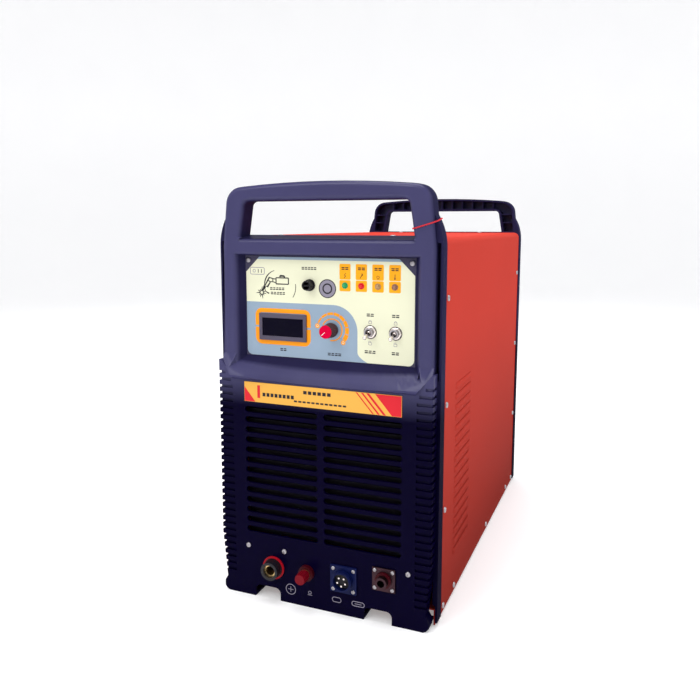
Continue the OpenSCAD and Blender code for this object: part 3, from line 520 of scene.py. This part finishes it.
def scatterTree():             # one copy of a pattern on every point, turned to the point's facing
    sockets = (("Pattern", "NodeSocketObject"), ("Size", "NodeSocketFloat"), ("Turn", "NodeSocketFloat"),
               ("Finish", "NodeSocketMaterial"))
    tree, source, sink = newTree("setOnPoints", sockets)
    facing = added(tree, "GeometryNodeInputNamedAttribute", {"data_type": "FLOAT_VECTOR"}, Name="facing")
    aim = added(tree, "FunctionNodeAlignRotationToVector", {"axis": "Z"}, Vector=facing.outputs["Attribute"])
    spin = added(tree, "FunctionNodeRandomValue", {"data_type": "FLOAT"}, Seed=7)
    spin.inputs[2].default_value = 0.0
    tree.links.new(source.outputs["Turn"], spin.inputs[3])
    turn = added(tree, "FunctionNodeAxisAngleToRotation", None, Axis=(0, 0, 1), Angle=spin.outputs[1])
    both = added(tree, "FunctionNodeRotateRotation", {"rotation_space": "LOCAL"}, Rotation=aim.outputs[0])
    tree.links.new(turn.outputs[0], both.inputs["Rotate By"])
    pattern = added(tree, "GeometryNodeObjectInfo", None, Object=source.outputs["Pattern"])
    copies = added(tree, "GeometryNodeInstanceOnPoints", None, Points=source.outputs["Geometry"],
                   Instance=pattern.outputs["Geometry"], Rotation=both.outputs[0], Scale=source.outputs["Size"])
    return finished(tree, copies, source, sink)


def lineTree():                # copies of the object's own shape, set out along a line
    tree, source, sink = newTree("setInLine", (("Count", "NodeSocketInt"), ("Step", "NodeSocketVector"),
                                               ("Finish", "NodeSocketMaterial")))
    line = added(tree, "GeometryNodeMeshLine", {"mode": "OFFSET"}, Count=source.outputs["Count"],
                 Offset=source.outputs["Step"])
    copies = added(tree, "GeometryNodeInstanceOnPoints", None, Points=line.outputs[0],
                   Instance=source.outputs["Geometry"])
    return finished(tree, copies, source, sink)


setOnPoints, setInLine = scatterTree(), lineTree()
fullTurn = 6.283               # screw heads stand at any angle


def runTree(piece, tree, values):
    modifier = piece.modifiers.new("repeat", "NODES")
    modifier.node_group = tree
    sockets = {item.name: item.identifier for item in tree.interface.items_tree if item.in_out == "INPUT"}
    for label, value in values.items():
        modifier[sockets[label]] = value
    result = evaluated(piece)
    piece.modifiers.clear()
    piece.data = result
    result.name = piece.name


def scattered(name, pattern, places, slot, size=1.0):
    mesh = bpy.data.meshes.new(name)
    mesh.from_pydata([p for p, n in places], [], [])
    facing = mesh.attributes.new("facing", "FLOAT_VECTOR", "POINT")
    for i, (p, n) in enumerate(places):
        facing.data[i].vector = n
    piece = asObject(name, mesh)
    runTree(piece, setOnPoints, {"Pattern": pattern, "Size": size, "Turn": fullTurn, "Finish": finish[slot]})
    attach(piece, "machine")
    return piece


def inLine(name, bm, count, step, slot):
    bmesh.ops.recalc_face_normals(bm, faces=bm.faces)
    for face in bm.faces:
        face.smooth = True
    piece = meshObject(name, bm)
    runTree(piece, setInLine, {"Count": count, "Step": step, "Finish": finish[slot]})
    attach(piece, "machine")


# end mouldings: the frame's mouldings with rounded edges and a bowed sill
moulding = {"faceY": 10, "backY": 38, "edgeRadius": 6.4, "innerRadius": 3.4, "backRadius": 2.4,
            "cornerRadius": 8.0, "gapRadius": 9.0, "slotRadius": 0.9, "steps": 5,
            "sillY": 24, "sillZ": 346.5, "sillEdge": 337.6, "sillBow": 8.0, "sillHalf": 132.9,
            "sideSlope": 9 / 14, "aheadY": -9, "overZ": 352}
# where its edges are found: half widths and heights in metres, onPlane in millimetres
zone = {"rimHalf": 0.1345, "rimTop": 0.495, "ribFoot": 0.3435, "faceFoot": 0.336, "handleFoot": 0.520,
        "onPlane": 0.06, "slotHalf": 0.117, "slotLow": 0.094, "slotHigh": 0.286}
gapZone = ((0.120, 0.127, 0.508, 0.516),)
recessZones = ((0.1232, 0.1338, 0.3360, 0.3475), (0.1232, 0.1338, 0.4855, 0.4895))


def sillCutter(side):          # side is -1 at the front and 1 at the rear
    bm = bmesh.new()
    rings = []
    for i in range(33):
        t = i / 16 - 1
        edge = moulding["sillEdge"] - moulding["sillBow"] * (1 - t * t)
        slope = (moulding["sillZ"] - edge) / (moulding["sillY"] - moulding["faceY"])
        ahead, over, back = moulding["aheadY"], moulding["overZ"], moulding["sillY"] - 0.05
        low = moulding["sillZ"] - slope * (moulding["sillY"] - ahead)
        ring = []
        for y, z in ((back, moulding["sillZ"]), (ahead, low), (ahead, over), (back, over)):
            half = moulding["sillHalf"] + moulding["sideSlope"] * (moulding["faceY"] - y)
            ring.append(bm.verts.new((t * half * mm, side * (endY - y * mm), z * mm)))
        rings.append(ring)
    skin(bm, rings)
    bmesh.ops.recalc_face_normals(bm, faces=bm.faces)
    return meshObject("sillCutter", bm)


def roundEdges(bm, wanted, radius, steps, clamp=True):
    bm.edges.ensure_lookup_table()
    bent = [e for e in bm.edges if len(e.link_faces) == 2 and e.calc_face_angle(0) > math.radians(28)]
    edges = [e for e in bent if wanted(e)]
    bmesh.ops.bevel(bm, geom=edges, offset=radius * mm, segments=steps, profile=0.5, affect="EDGES",
                    offset_type="OFFSET", clamp_overlap=clamp, loop_slide=True)
    print("  rounded", len(edges), "edges")


def softMoulding(nodeName, name, side):
    shell = meshObject(name + "Shell", merged(nodes[nodeName].data))
    cutter = sillCutter(side)
    cut = shell.modifiers.new("sill", "BOOLEAN")
    cut.operation, cut.solver, cut.object = "DIFFERENCE", "EXACT", cutter
    bowed = evaluated(shell)
    bpy.data.objects.remove(shell)
    bpy.data.objects.remove(cutter)
    bm = merged(bowed)

    def inward(vert):
        return (endY - side * vert.co.y) / mm

    def depthOf(edge):
        return abs(inward(edge.verts[0]) - inward(edge.verts[1]))

    def within(edge, zones):
        return all(any(x0 < abs(v.co.x) < x1 and z0 < v.co.z < z1 for x0, x1, z0, z1 in zones)
                   for v in edge.verts)

    def onPlane(edge, depth, foot):
        return all(abs(inward(v) - depth) < zone["onPlane"] and v.co.z > foot for v in edge.verts)

    def gapCorner(edge):
        return depthOf(edge) > 1.5 and within(edge, gapZone)

    def recessCorner(edge):
        return depthOf(edge) > 0.5 and within(edge, recessZones)

    def outer(edge):
        return onPlane(edge, moulding["faceY"], zone["faceFoot"]) and all(
            (abs(v.co.x) > zone["rimHalf"] and v.co.z > zone["ribFoot"]) or v.co.z > zone["rimTop"]
            for v in edge.verts)

    def recessRim(edge):
        return onPlane(edge, moulding["faceY"], zone["faceFoot"]) and all(
            abs(v.co.x) < zone["rimHalf"] and v.co.z < zone["rimTop"] for v in edge.verts)

    def handleBack(edge):
        return onPlane(edge, moulding["backY"], zone["handleFoot"])

    def slotRim(edge):
        return onPlane(edge, 0, zone["slotLow"]) and all(
            abs(v.co.x) < zone["slotHalf"] and v.co.z < zone["slotHigh"] for v in edge.verts)

    roundEdges(bm, gapCorner, moulding["gapRadius"], 7)
    roundEdges(bm, recessCorner, moulding["cornerRadius"], 7)
    roundEdges(bm, outer, moulding["edgeRadius"], moulding["steps"], clamp=False)
    roundEdges(bm, recessRim, moulding["innerRadius"], moulding["steps"], clamp=False)
    roundEdges(bm, slotRim, moulding["slotRadius"], 2)
    roundEdges(bm, handleBack, moulding["backRadius"], 2)
    piece = fromMesh(name, bm, "bezel_plastic", sharp=32, cutFromFrame=True)
    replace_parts(piece, nodeName)


softMoulding("front_bezel", "frontMoulding", -1)
softMoulding("rear_bezel", "rearMoulding", 1)
print("mouldings made")


# the red thread: two strands twisted round the right handle post
tie = {"at": (0.138, -0.296, 0.530), "rise": (0.30, 0.15), "gap": 1.05, "strand": 0.55, "apart": 0.5,
       "lay": 4.2, "step": 0.5, "sides": 8}


def postOutline():             # the tight line round the post, in the thread's sloping plane
    bm = bmesh.new()
    bm.from_mesh(bpy.data.objects["frontMoulding"].data)
    across, back = tie["rise"]
    everything = bm.verts[:] + bm.edges[:] + bm.faces[:]
    cut = bmesh.ops.bisect_plane(bm, geom=everything, plane_co=tie["at"], plane_no=(-across, -back, 1))
    flat = [(v.co.x, v.co.y) for v in cut["geom_cut"] if isinstance(v, bmesh.types.BMVert) and v.co.x > 0.1]
    bm.free()
    hull = [Vector(flat[i]) for i in convex_hull_2d(flat)]
    middle = sum(hull, Vector((0, 0))) / len(hull)
    corners = []
    for i, here in enumerate(hull):
        before, after = hull[i - 1], hull[(i + 1) % len(hull)]
        sides = []
        for a, b in ((before, here), (here, after)):
            side = Vector(((b - a).y, (a - b).x)).normalized()
            sides.append(side if side.dot(here - middle) > 0 else -side)
        out = (sides[0] + sides[1]).normalized()
        corners.append(here + out * tie["gap"] * mm / max(0.6, out.dot(sides[0])))
    return corners


def sampled(corners, step):    # points at even steps round the closed line
    points = []
    for a, b in zip(corners, corners[1:] + corners[:1]):
        count = max(1, round((b - a).length / step))
        points += [a.lerp(b, k / count) for k in range(count)]
    return points


def tieThread():
    across, back = tie["rise"]
    x, y, z = tie["at"]
    path = sampled(postOutline(), tie["step"] * mm)
    spine = [Vector((p.x, p.y, z + across * (p.x - x) + back * (p.y - y))) for p in path]
    length = sum((a - b).length for a, b in zip(spine, spine[1:] + spine[:1]))
    turns = round(length / (tie["lay"] * mm))
    circle = [2 * math.pi * k / tie["sides"] for k in range(tie["sides"])]
    bm = bmesh.new()
    for strand in (0, 1):
        rings = []
        for i, here in enumerate(spine):
            along = (spine[(i + 1) % len(spine)] - spine[i - 1]).normalized()
            side = along.cross(Vector((0, 0, 1))).normalized()
            over = side.cross(along)
            twist = 2 * math.pi * (turns * i / len(spine) + strand / 2)
            heart = here + (math.cos(twist) * side + math.sin(twist) * over) * tie["apart"] * mm
            spokes = [math.cos(a) * side + math.sin(a) * over for a in circle]
            rings.append([bm.verts.new(heart + spoke * tie["strand"] * mm) for spoke in spokes])
        skin(bm, rings, loop=True)
    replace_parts(fromMesh("tieStrands", bm, "thread_fibre", sharp=80), "tie_thread")


tieThread()
print("thread tied")


# vanes behind the grilles, and a black screen behind the front grille as painted shade for the dark inside of
# the machine
grille = {"count": 13, "low": 96, "pitch": 14.5, "slot": 8.4, "from": 3.6, "to": 115.5, "vaneFront": 4.05,
          "vaneDepth": 9.0, "vaneDrop": 4.6, "thick": 1.2}
screen = {"half": 118, "low": 92, "high": 292, "from": 0.0142, "to": 0.0150}


def grilleVanes(name, side, half):
    bm = bmesh.new()
    x0, x1 = sorted((half * grille["from"] * mm, half * grille["to"] * mm))
    top = grille["low"] + grille["slot"]
    front, rear, drop = grille["vaneFront"], grille["vaneFront"] + grille["vaneDepth"], top - grille["vaneDrop"]
    section = [(front, top + 1.6), (front, top + 0.4), (rear, drop - grille["thick"]), (rear, drop)]
    ends = [[bm.verts.new((x, side * (endY - y * mm), z * mm)) for y, z in section] for x in (x0, x1)]
    skin(bm, ends)
    inLine(name, bm, grille["count"], (0, 0, grille["pitch"] * mm), "bezel_plastic")


# painted shade: a black sheet that hides the inside behind the front grille, where shade falls
def shadeScreen(name, side):
    bm = bmesh.new()
    near, far = side * (endY - screen["from"]), side * (endY - screen["to"])
    half, low, high = screen["half"], screen["low"], screen["high"]
    patch(bm, [(-half, low), (half, low), (half, high), (-half, high)], min(near, far), max(near, far))
    fromMesh(name, bm, "black_plastic")


for side, word in ((-1, "front"), (1, "rear")):
    grilleVanes(word + "VanesLeft", side, -1)
    grilleVanes(word + "VanesRight", side, 1)
shadeScreen("frontDustScreen", -1)


# screws
panHead = {"radius": 4.0, "height": 2.2, "cross": 2.3, "crossWidth": 0.5, "depth": 0.9}


def screwPattern():            # a domed head on its seat, with a cross sunk into it
    bm = bmesh.new()
    r, h = panHead["radius"], panHead["height"]
    dome = [(r, h * 0.35), (r * 0.94, h * 0.62), (r * 0.78, h * 0.85), (r * 0.5, h * 0.97), (0, h)]
    turned(bm, [(0, -0.3), (r, -0.3)] + dome, (0, 0, 0), (0, 0, 1), steps=24)
    bmesh.ops.recalc_face_normals(bm, faces=bm.faces)
    head = meshObject("screwPattern", bm)
    arms = bmesh.new()
    a, w = panHead["cross"] * mm, panHead["crossWidth"] * mm
    outline = [(a, w), (w, w), (w, a), (-w, a), (-w, w), (-a, w),
               (-a, -w), (-w, -w), (-w, -a), (w, -a), (w, -w), (a, -w)]
    top = [arms.verts.new((x, y, (h + 1) * mm)) for x, y in outline]
    low = [arms.verts.new((x * 0.7, y * 0.7, (h - panHead["depth"]) * mm)) for x, y in outline]
    skin(arms, [low, top])
    bmesh.ops.recalc_face_normals(arms, faces=arms.faces)
    cross = meshObject("screwCross", arms)
    cut = head.modifiers.new("cross", "BOOLEAN")
    cut.operation, cut.solver, cut.object = "DIFFERENCE", "EXACT", cross
    head.data = evaluated(head)
    head.modifiers.clear()
    bpy.data.objects.remove(cross)
    for face in head.data.polygons:
        face.use_smooth = True
    head.data.set_sharp_from_angle(angle=math.radians(35))
    return head


screwHead = screwPattern()
coverHalf = 158.4              # the cover's outer face, in millimetres from the middle
coverScrews = {"row": 268, "rowZ": (435, 294, 150, 14), "sillY": (-208, 18, 208), "sillZ": 14,
               "topX": 83, "topZ": 513}
faceScrews = {"lower": ((-113, 75), (-56, 75), (125, 76.5)), "half": 119, "depth": 0.296, "height": 0.480,
              "size": 0.9}
outletScrews = {"signal": ((34.2, 52), 14.6), "torch": ((92, 63.3), 12.25), "depth": -0.3226, "size": 0.675}
coverPlaces, facePlaces, outletPlaces = [], [], []
for side in (-1, 1):
    for y in (-coverScrews["row"], coverScrews["row"]):
        coverPlaces += [((side * coverHalf * mm, y * mm, z * mm), (side, 0, 0)) for z in coverScrews["rowZ"]]
        coverPlaces.append(((side * coverScrews["topX"] * mm, y * mm, coverScrews["topZ"] * mm), (0, 0, 1)))
    for y in coverScrews["sillY"]:
        coverPlaces.append(((side * coverHalf * mm, y * mm, coverScrews["sillZ"] * mm), (side, 0, 0)))
    for x, z in faceScrews["lower"]:
        facePlaces.append(((x * mm, side * endY, z * mm), (0, side, 0)))
    for x in (-faceScrews["half"], faceScrews["half"]):
        facePlaces.append(((x * mm, side * faceScrews["depth"], faceScrews["height"]), (0, side, 0)))
for (x, z), reach in (outletScrews["signal"], outletScrews["torch"]):
    for s, t in ((-1, -1), (-1, 1), (1, -1), (1, 1)):
        outletPlaces.append((((x + s * reach) * mm, outletScrews["depth"], (z + t * reach) * mm), (0, -1, 0)))
for name, places, size, replaced in (("coverScrewSet", coverPlaces, 1.0, "cover_screws"),
                                     ("faceScrewSet", facePlaces, faceScrews["size"], "face_screws"),
                                     ("outletScrewSet", outletPlaces, outletScrews["size"], "outlet_screws")):
    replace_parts(scattered(name, screwHead, places, "zinc_screws", size), replaced)
bpy.data.objects.remove(screwHead)
print("screws set")


# louvres over the slots in the cover
louvre = {"count": 17, "firstZ": 66, "pitch": 15, "start": -217, "length": 94, "foot": 2.4, "proud": 1.9,
          "steps": 24}


def louvreRow(name, side):     # a pressed hood, open below, over each slot
    bm = bmesh.new()
    outline = [(0.0, 8.4), (0.5, 7.6), (0.86, 6.2), (1.0, 4.4), (1.0, 2.2), (0.96, 0.4),
               (0.72, 0.4), (0.72, 4.4), (0.5, 6.2), (0.0, 7.2)]
    foot = louvre["firstZ"] - louvre["foot"]
    rings = []
    for i in range(louvre["steps"] + 1):
        t = i / louvre["steps"]
        swell = max(0.04, min(1.0, math.sin(math.pi * t) * 3.2) ** 0.5) if 0 < t < 1 else 0.04
        y = (louvre["start"] + louvre["length"] * t) * mm
        proud = louvre["proud"] * swell
        rings.append([bm.verts.new((side * (coverHalf + reach * proud) * mm, y, (foot + z) * mm))
                      for reach, z in outline])
    skin(bm, rings)
    inLine(name, bm, louvre["count"], (0, 0, louvre["pitch"] * mm), "cover_paint")


louvreRow("rightLouvres", 1)
louvreRow("leftLouvres", -1)
print("louvres pressed")


# printed graphics on the panel film
film = {"front": -0.2964, "layer": 0.00012}
displayFrame = {"box": (-109, -24, 363.6, 414), "band": 6.0, "gap": 2.6, "gapZ": 388.5, "radius": 7}
lampTag = {"firstX": 26.4, "pitch": 23.1, "half": 7.9, "low": 441.5, "high": 477.5, "split": 456.5,
           "splitGap": 0.8, "radius": 1.6}
dial = {"x": 7.5, "z": 389, "radius": 21.8, "thick": 6.0, "thinning": 0.085, "inner": 14.6, "innerThick": 1.7,
        "start": -38, "end": 158, "steps": 8, "gap": 2.4}
stripThick = 0.00012
ink = {name: bmesh.new() for name in inks}


def layerFaces(layer):         # the front and the back of one layer of ink
    return film["front"] - film["layer"] * layer, film["front"] - film["layer"] * (layer - 1) * 0.5


def lay(name, outline, layer=1):
    patch(ink[name], outline, *layerFaces(layer))


def draw(name, path, width, layer=1, closed=False):
    ribbon(ink[name], path, width, *layerFaces(layer), closed)


def drawDisplayFrame():
    x0, x1, z0, z1 = displayFrame["box"]
    half, r = displayFrame["band"] / 2, displayFrame["radius"]
    a0, a1, c0, c1 = x0 + half, x1 - half, z0 + half, z1 - half
    low, high = displayFrame["gapZ"] - displayFrame["gap"] / 2, displayFrame["gapZ"] + displayFrame["gap"] / 2
    over = arc(a1 - r, c1 - r, r, 0, 90, 6) + arc(a0 + r, c1 - r, r, 90, 180, 6)
    under = arc(a0 + r, c0 + r, r, 180, 270, 6) + arc(a1 - r, c0 + r, r, 270, 360, 6)
    draw("orangeInk", [(a1, high)] + over + [(a0, high)], displayFrame["band"])
    draw("orangeInk", [(a0, low)] + under + [(a1, low)], displayFrame["band"])


def drawDial():                # a scale that widens towards its end, with a dot at each end
    span, gap = (dial["end"] - dial["start"]) / dial["steps"], dial["gap"]
    for i in range(dial["steps"]):
        first = dial["start"] + span * i + gap / 2
        thick = dial["thick"] * (1 - dial["thinning"] * i)
        draw("orangeInk", arc(dial["x"], dial["z"], dial["radius"], first, first + span - gap, 5), thick)
    draw("orangeInk", arc(dial["x"], dial["z"], dial["inner"], -100, 155, 26), dial["innerThick"])
    for x, z in ((dial["x"] - 21.4, dial["z"] + 4.5), (dial["x"] + 16.2, dial["z"] - 16.4)):
        lay("orangeInk", arc(x, z, 3.3, 0, 345, 23))
        draw("creamInk", arc(x, z, 1.5, 0, 330, 11), 0.6, layer=2, closed=True)


def dashes(name, x, z, count, tall=2.6, wide=2.6, gap=0.9):   # plain blocks where a caption would be
    first = x - (count * wide + (count - 1) * gap) / 2
    for i in range(count):
        left = first + i * (wide + gap)
        low, high, right = z - tall * 0.26, z + tall * 0.28, left + wide
        draw(name, [(left, low), (right, low)], tall * 0.34)
        draw(name, [(left + wide * 0.1 * (i % 3), high), (right, high)], tall * 0.30)


def drawTags():
    x = [lampTag["firstX"] + lampTag["pitch"] * i for i in range(4)]
    half, low, high, gap = lampTag["half"], lampTag["low"], lampTag["high"], lampTag["splitGap"] / 2
    for place in x:
        for z0, z1 in ((low, lampTag["split"] - gap), (lampTag["split"] + gap, high)):
            lay("yellowInk", roundedBox(place - half, place + half, z0, z1, lampTag["radius"]))
        for z in (472.6, 470.4):
            for middle in (place - 2.7, place + 2.7):
                draw("darkInk", [(middle - 2.1, z), (middle + 2.1, z)], 1.3, layer=2)
    # a spark, a cut, a gauge and a heat sign
    spark = [(x[0] + 1.2, 465.5), (x[0] - 1.3, 462.4), (x[0] + 1.0, 462.0), (x[0] - 1.0, 458.8)]
    draw("darkInk", spark, 0.6, layer=2)
    draw("darkInk", [(x[1] - 1.8, 458.8), (x[1] + 1.6, 464.6)], 0.7, layer=2)
    draw("darkInk", [(x[1] - 0.6, 464.8), (x[1] + 1.7, 464.9), (x[1] + 1.6, 462.6)], 0.6, layer=2)
    draw("darkInk", arc(x[2], 461.2, 1.7, -60, 240, 12), 0.6, layer=2)
    draw("darkInk", [(x[2] - 1.6, 458.9), (x[2] + 1.6, 458.9)], 0.6, layer=2)
    draw("darkInk", [(x[3], 465.4), (x[3], 461.2)], 0.8, layer=2)
    draw("darkInk", arc(x[3], 460.0, 1.0, 0, 330, 11), 0.7, layer=2, closed=True)


def drawTorch():               # a plain picture of a hand torch, its arc and its sparks
    draw("darkInk", arc(-73, 446, 21, 105, 205, 22), [0.6 + 0.11 * min(i, 22 - i) for i in range(23)])
    draw("darkInk", arc(-72, 445, 26, -34, 8, 10), 0.9)
    draw("darkInk", roundedBox(-76, -57, 448, 456.5, 0.8, 3), 1.5, closed=True)
    draw("darkInk", [(-70.5, 457.9), (-69, 459.3), (-64, 459.1), (-62.6, 457.4)], 2.2)
    draw("darkInk", [(-76, 449.5), (-81, 450.8), (-81, 455.0), (-76, 454.6)], 1.2)
    grip = [(-81, 455.2), (-86.5, 456.6), (-93.2, 445.6), (-89.4, 443.6), (-84.6, 450.8), (-81, 450.8)]
    draw("darkInk", grip, 1.4)
    draw("darkInk", [(-87.6, 452.2), (-84.4, 450.2)], 1.4)
    draw("darkInk", [(-93.4, 444.6), (-97, 438.6)], [4.6, 1.6])
    centre = (-98.5, 435.5)
    for i in range(11):
        turn = math.radians(20 + i * 32.7)
        near, far = 2.0, 5.2 + 1.6 * (i % 3)
        draw("darkInk", [(centre[0] + near * math.cos(turn), centre[1] + near * math.sin(turn)),
                         (centre[0] + far * math.cos(turn), centre[1] + far * math.sin(turn))], [1.7, 0.7])
    draw("darkInk", [(-94, 438), (-87, 434.5)], [0.8, 1.9])
    dashes("darkInk", -74.5, 441.5, 5, tall=4.0, wide=3.6)
    dashes("darkInk", -73.5, 435.2, 5, tall=4.0, wide=3.6)
    draw("greyInk", roundedBox(-116, -94, 460.5, 470.0, 2.2), 0.8, closed=True)
    draw("greyInk", arc(-110, 465.2, 2.0, 0, 330, 11), 0.7, closed=True)
    draw("darkInk", [(-103.6, 462.8), (-103.6, 467.6)], 1.0)
    draw("darkInk", [(-98.6, 462.8), (-98.6, 467.6)], 1.0)


def drawRoundel():             # a plain round mark beside the fuse
    lay("darkInk", arc(1.0, 444, 12.6, 0, 352.5, 47))
    lay("greyInk", arc(1.0, 444, 11.4, 0, 352.5, 47), layer=2)
    draw("darkInk", arc(1.0, 444, 6.2, 0, 350, 35), 1.9, layer=3, closed=True)


def drawSwitchMarks():
    for x in (62, 97):
        dashes("darkInk", x, 411.5, 2, tall=4.4, wide=4.4)
        dashes("darkInk", x, 362.6, 3 if x < 80 else 2, tall=4.4, wide=4.4)
        draw("greyInk", arc(x, 403.2, 1.6, 0, 180, 8), 0.5)
        draw("greyInk", roundedBox(x - 2, x + 2, 400.2, 403.2, 0.4, 2), 0.5, closed=True)
        draw("greyInk", arc(x - 0.6, 375.4, 1.6, 0, 180, 8), 0.5)
        draw("greyInk", roundedBox(x - 2, x + 2, 372.0, 375.2, 0.4, 2), 0.5, closed=True)
    dashes("darkInk", -66, 357.4, 2, tall=4.2, wide=4.2)
    dashes("darkInk", 11, 355.8, 4, tall=4.2, wide=4.2)
    dashes("darkInk", -26, 470.4, 5, tall=4.0, wide=3.6)


def drawStrip():               # stripes of the coloured strip below the panel
    low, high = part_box("nameplate")
    face = low.y
    z0, z1 = low.z / mm, high.z / mm
    x0, x1 = low.x / mm, high.x / mm
    tall = z1 - z0

    def stripe(outline):
        patch(ink["redInk"], outline, face - stripThick, face)

    stripe([(x0 + 0.4, z0 + 0.4), (x0 + 17, z0 + 0.4), (x0 + 0.4, z1 - 7)])
    stripe([(x1 - 36, z1 - 0.4), (x1 - 0.4, z1 - 0.4), (x1 - 0.4, z0 + 0.4), (x1 - 13, z0 + 0.4)])
    for i in range(3):
        left, lean = x1 - 63 + i * 7.4, tall * 0.85
        right = left + 2.0 + i * 0.9
        stripe([(left, z1 - 0.4), (right, z1 - 0.4), (right + lean, z0 + 0.4), (left + lean, z0 + 0.4)])
    ribbon(ink["redInk"], [(-92, z0 + tall * 0.22), (-92, z0 + tall * 0.86)], 4.2, face - stripThick, face)
    rows = [(-86, 8, 6.2, 0.42, 5.0), (-24, 6, 7.0, 0.72, 4.6), (-38, 12, 6.5, 0.24, 2.4)]
    for start, count, step, place, width in rows:
        for i in range(count):
            left, z = start + i * step, z0 + tall * place
            ribbon(ink["darkInk"], [(left, z), (left + step * 0.72, z)], width, face - stripThick, face)


def drawFootMarks():           # outlines by the outlets, printed on the foot of the moulding
    face = -endY
    thick = 0.0001

    def mark(path, width, closed=False):
        ribbon(ink["greyInk"], path, width, face - thick, face + 0.00002, closed)

    mark(arc(-46.6, 21, 7.4, 0, 350, 35), 0.9, True)
    mark([(-50.6, 21), (-42.6, 21)], 0.9)
    mark([(-46.6, 17), (-46.6, 25)], 0.9)
    mark(arc(-17, 22, 2.2, 0, 330, 11), 0.7, True)
    mark([(-20.4, 18.4), (-13.6, 18.4)], 0.7)
    mark([(17 + x, 20 + z) for x, z in roundedBox(0, 13, -3.4, 3.4, 3.3)], 0.8, True)
    mark([(46 + x, 20 + z) for x, z in roundedBox(0, 18, -3.2, 3.2, 3.1)], 0.9, True)
    mark([(50, 20), (60, 20)], 0.8)


drawDisplayFrame()
drawDial()
drawTags()
drawTorch()
drawRoundel()
drawSwitchMarks()
drawStrip()
drawFootMarks()
for name, bm in ink.items():
    if bm.faces:
        fromMesh("print_" + name, bm, "overlay_print", inks[name])
print("graphics printed")


# knob, its cap and pointer
knobShape = {"x": 7.5, "z": 389, "bore": 4.2, "flutes": 24, "fluteDepth": 0.06,
             "pointerAngle": 222, "pointerFrom": 0.6, "pointerGap": 1.7, "pointerWidth": [0.6, 0.9]}


def makeKnob():
    low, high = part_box("current_knob")
    capLow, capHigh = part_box("knob_cap")
    at = (knobShape["x"] * mm, high.y, knobShape["z"] * mm)
    length = (high.y - low.y) / mm
    radius = (high.x - low.x) / mm / 2
    bm = bmesh.new()
    skirt = [(knobShape["bore"], 0.2), (radius - 0.3, 0.0), (radius, 0.5), (radius, 2.0), (radius * 0.93, 2.8)]
    turned(bm, skirt, at, steps=96)
    grip = [(knobShape["bore"], 2.2), (radius * 0.93, 2.2), (radius * 0.91, length - 1.6),
            (radius * 0.86, length - 0.5), (radius * 0.8, length - 0.1), (3.0, length - 0.1)]
    turned(bm, grip, at, steps=144, flutes=knobShape["flutes"], depth=knobShape["fluteDepth"])
    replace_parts(fromMesh("knobBody", bm, "knob_plastic", body="knob"), "current_knob")
    capR = (capHigh.x - capLow.x) / mm / 2
    capAt = (at[0], capHigh.y, at[2])
    capH = (capHigh.y - capLow.y) / mm
    bm = bmesh.new()
    disc = [(0, 0.1), (capR - 0.2, 0.1), (capR, 0.3), (capR, capH - 0.6), (capR - 0.35, capH - 0.15),
            (capR - 0.9, capH - 0.05), (capR - 1.5, capH - 0.22), (0, capH - 0.22)]
    turned(bm, disc, capAt, steps=72)
    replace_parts(fromMesh("knobCap", bm, "red_plastic", body="knob"), "knob_cap")
    bm = bmesh.new()
    turn = math.radians(knobShape["pointerAngle"])
    ends = (knobShape["pointerFrom"], capR - knobShape["pointerGap"])
    line = [(knobShape["x"] + r * math.cos(turn), knobShape["z"] + r * math.sin(turn)) for r in ends]
    ribbon(bm, line, knobShape["pointerWidth"], capLow.y + 0.00010, capLow.y + 0.00026)
    fromMesh("knobPointer", bm, "overlay_print", inks["whiteInk"], body="knob")


makeKnob()
print("knob made")


# the switch nuts and the fuse cap
switchNut = {"x": (62, 97), "z": 0.389, "bore": 6.0, "radius": 8.4, "height": 3.0, "depth": 0.05}
fuseFace = {"at": (-25, 448), "radius": 4.9, "slot": 1.1, "thick": 0.1}


def ringShape(bm, profile, at, **shape):      # a lathe shape with a hole right through it
    turned(bm, profile + profile[:1], at, **shape)
    bmesh.ops.remove_doubles(bm, verts=bm.verts, dist=1e-6)


def makeNuts():
    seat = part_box("toggle_nuts")[1].y
    bm = bmesh.new()
    r, h, bore = switchNut["radius"], switchNut["height"], switchNut["bore"]
    profile = [(bore, 0), (r, 0), (r, h * 0.55), (r * 0.96, h * 0.75), (r * 0.86, h * 0.95),
               (bore + 0.4, h), (bore, h - 0.4)]
    for x in switchNut["x"]:
        ringShape(bm, profile, (x * mm, seat, switchNut["z"]), steps=72, flutes=6, depth=switchNut["depth"])
    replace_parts(fromMesh("switchNuts", bm, "chrome_metal"), "toggle_nuts")


def paintFuseCapHighlights():             # painted highlights: grey faces on the two sides of the cap's slot, standing in for the glints on the cap
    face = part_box("fuse_cap")[0].y
    x, z = fuseFace["at"]
    lean = math.degrees(math.asin(fuseFace["slot"] / fuseFace["radius"]))
    bm = bmesh.new()
    for start in (lean, 180 + lean):
        outline = arc(x, z, fuseFace["radius"], start, start + 180 - 2 * lean, 16)
        patch(bm, outline, face, face + fuseFace["thick"] * mm)
    fromMesh("fuseCapFaces", bm, "overlay_print", inks["greyInk"], body="fuse_top")


makeNuts()
paintFuseCapHighlights()
print("nuts and fuse cap made")
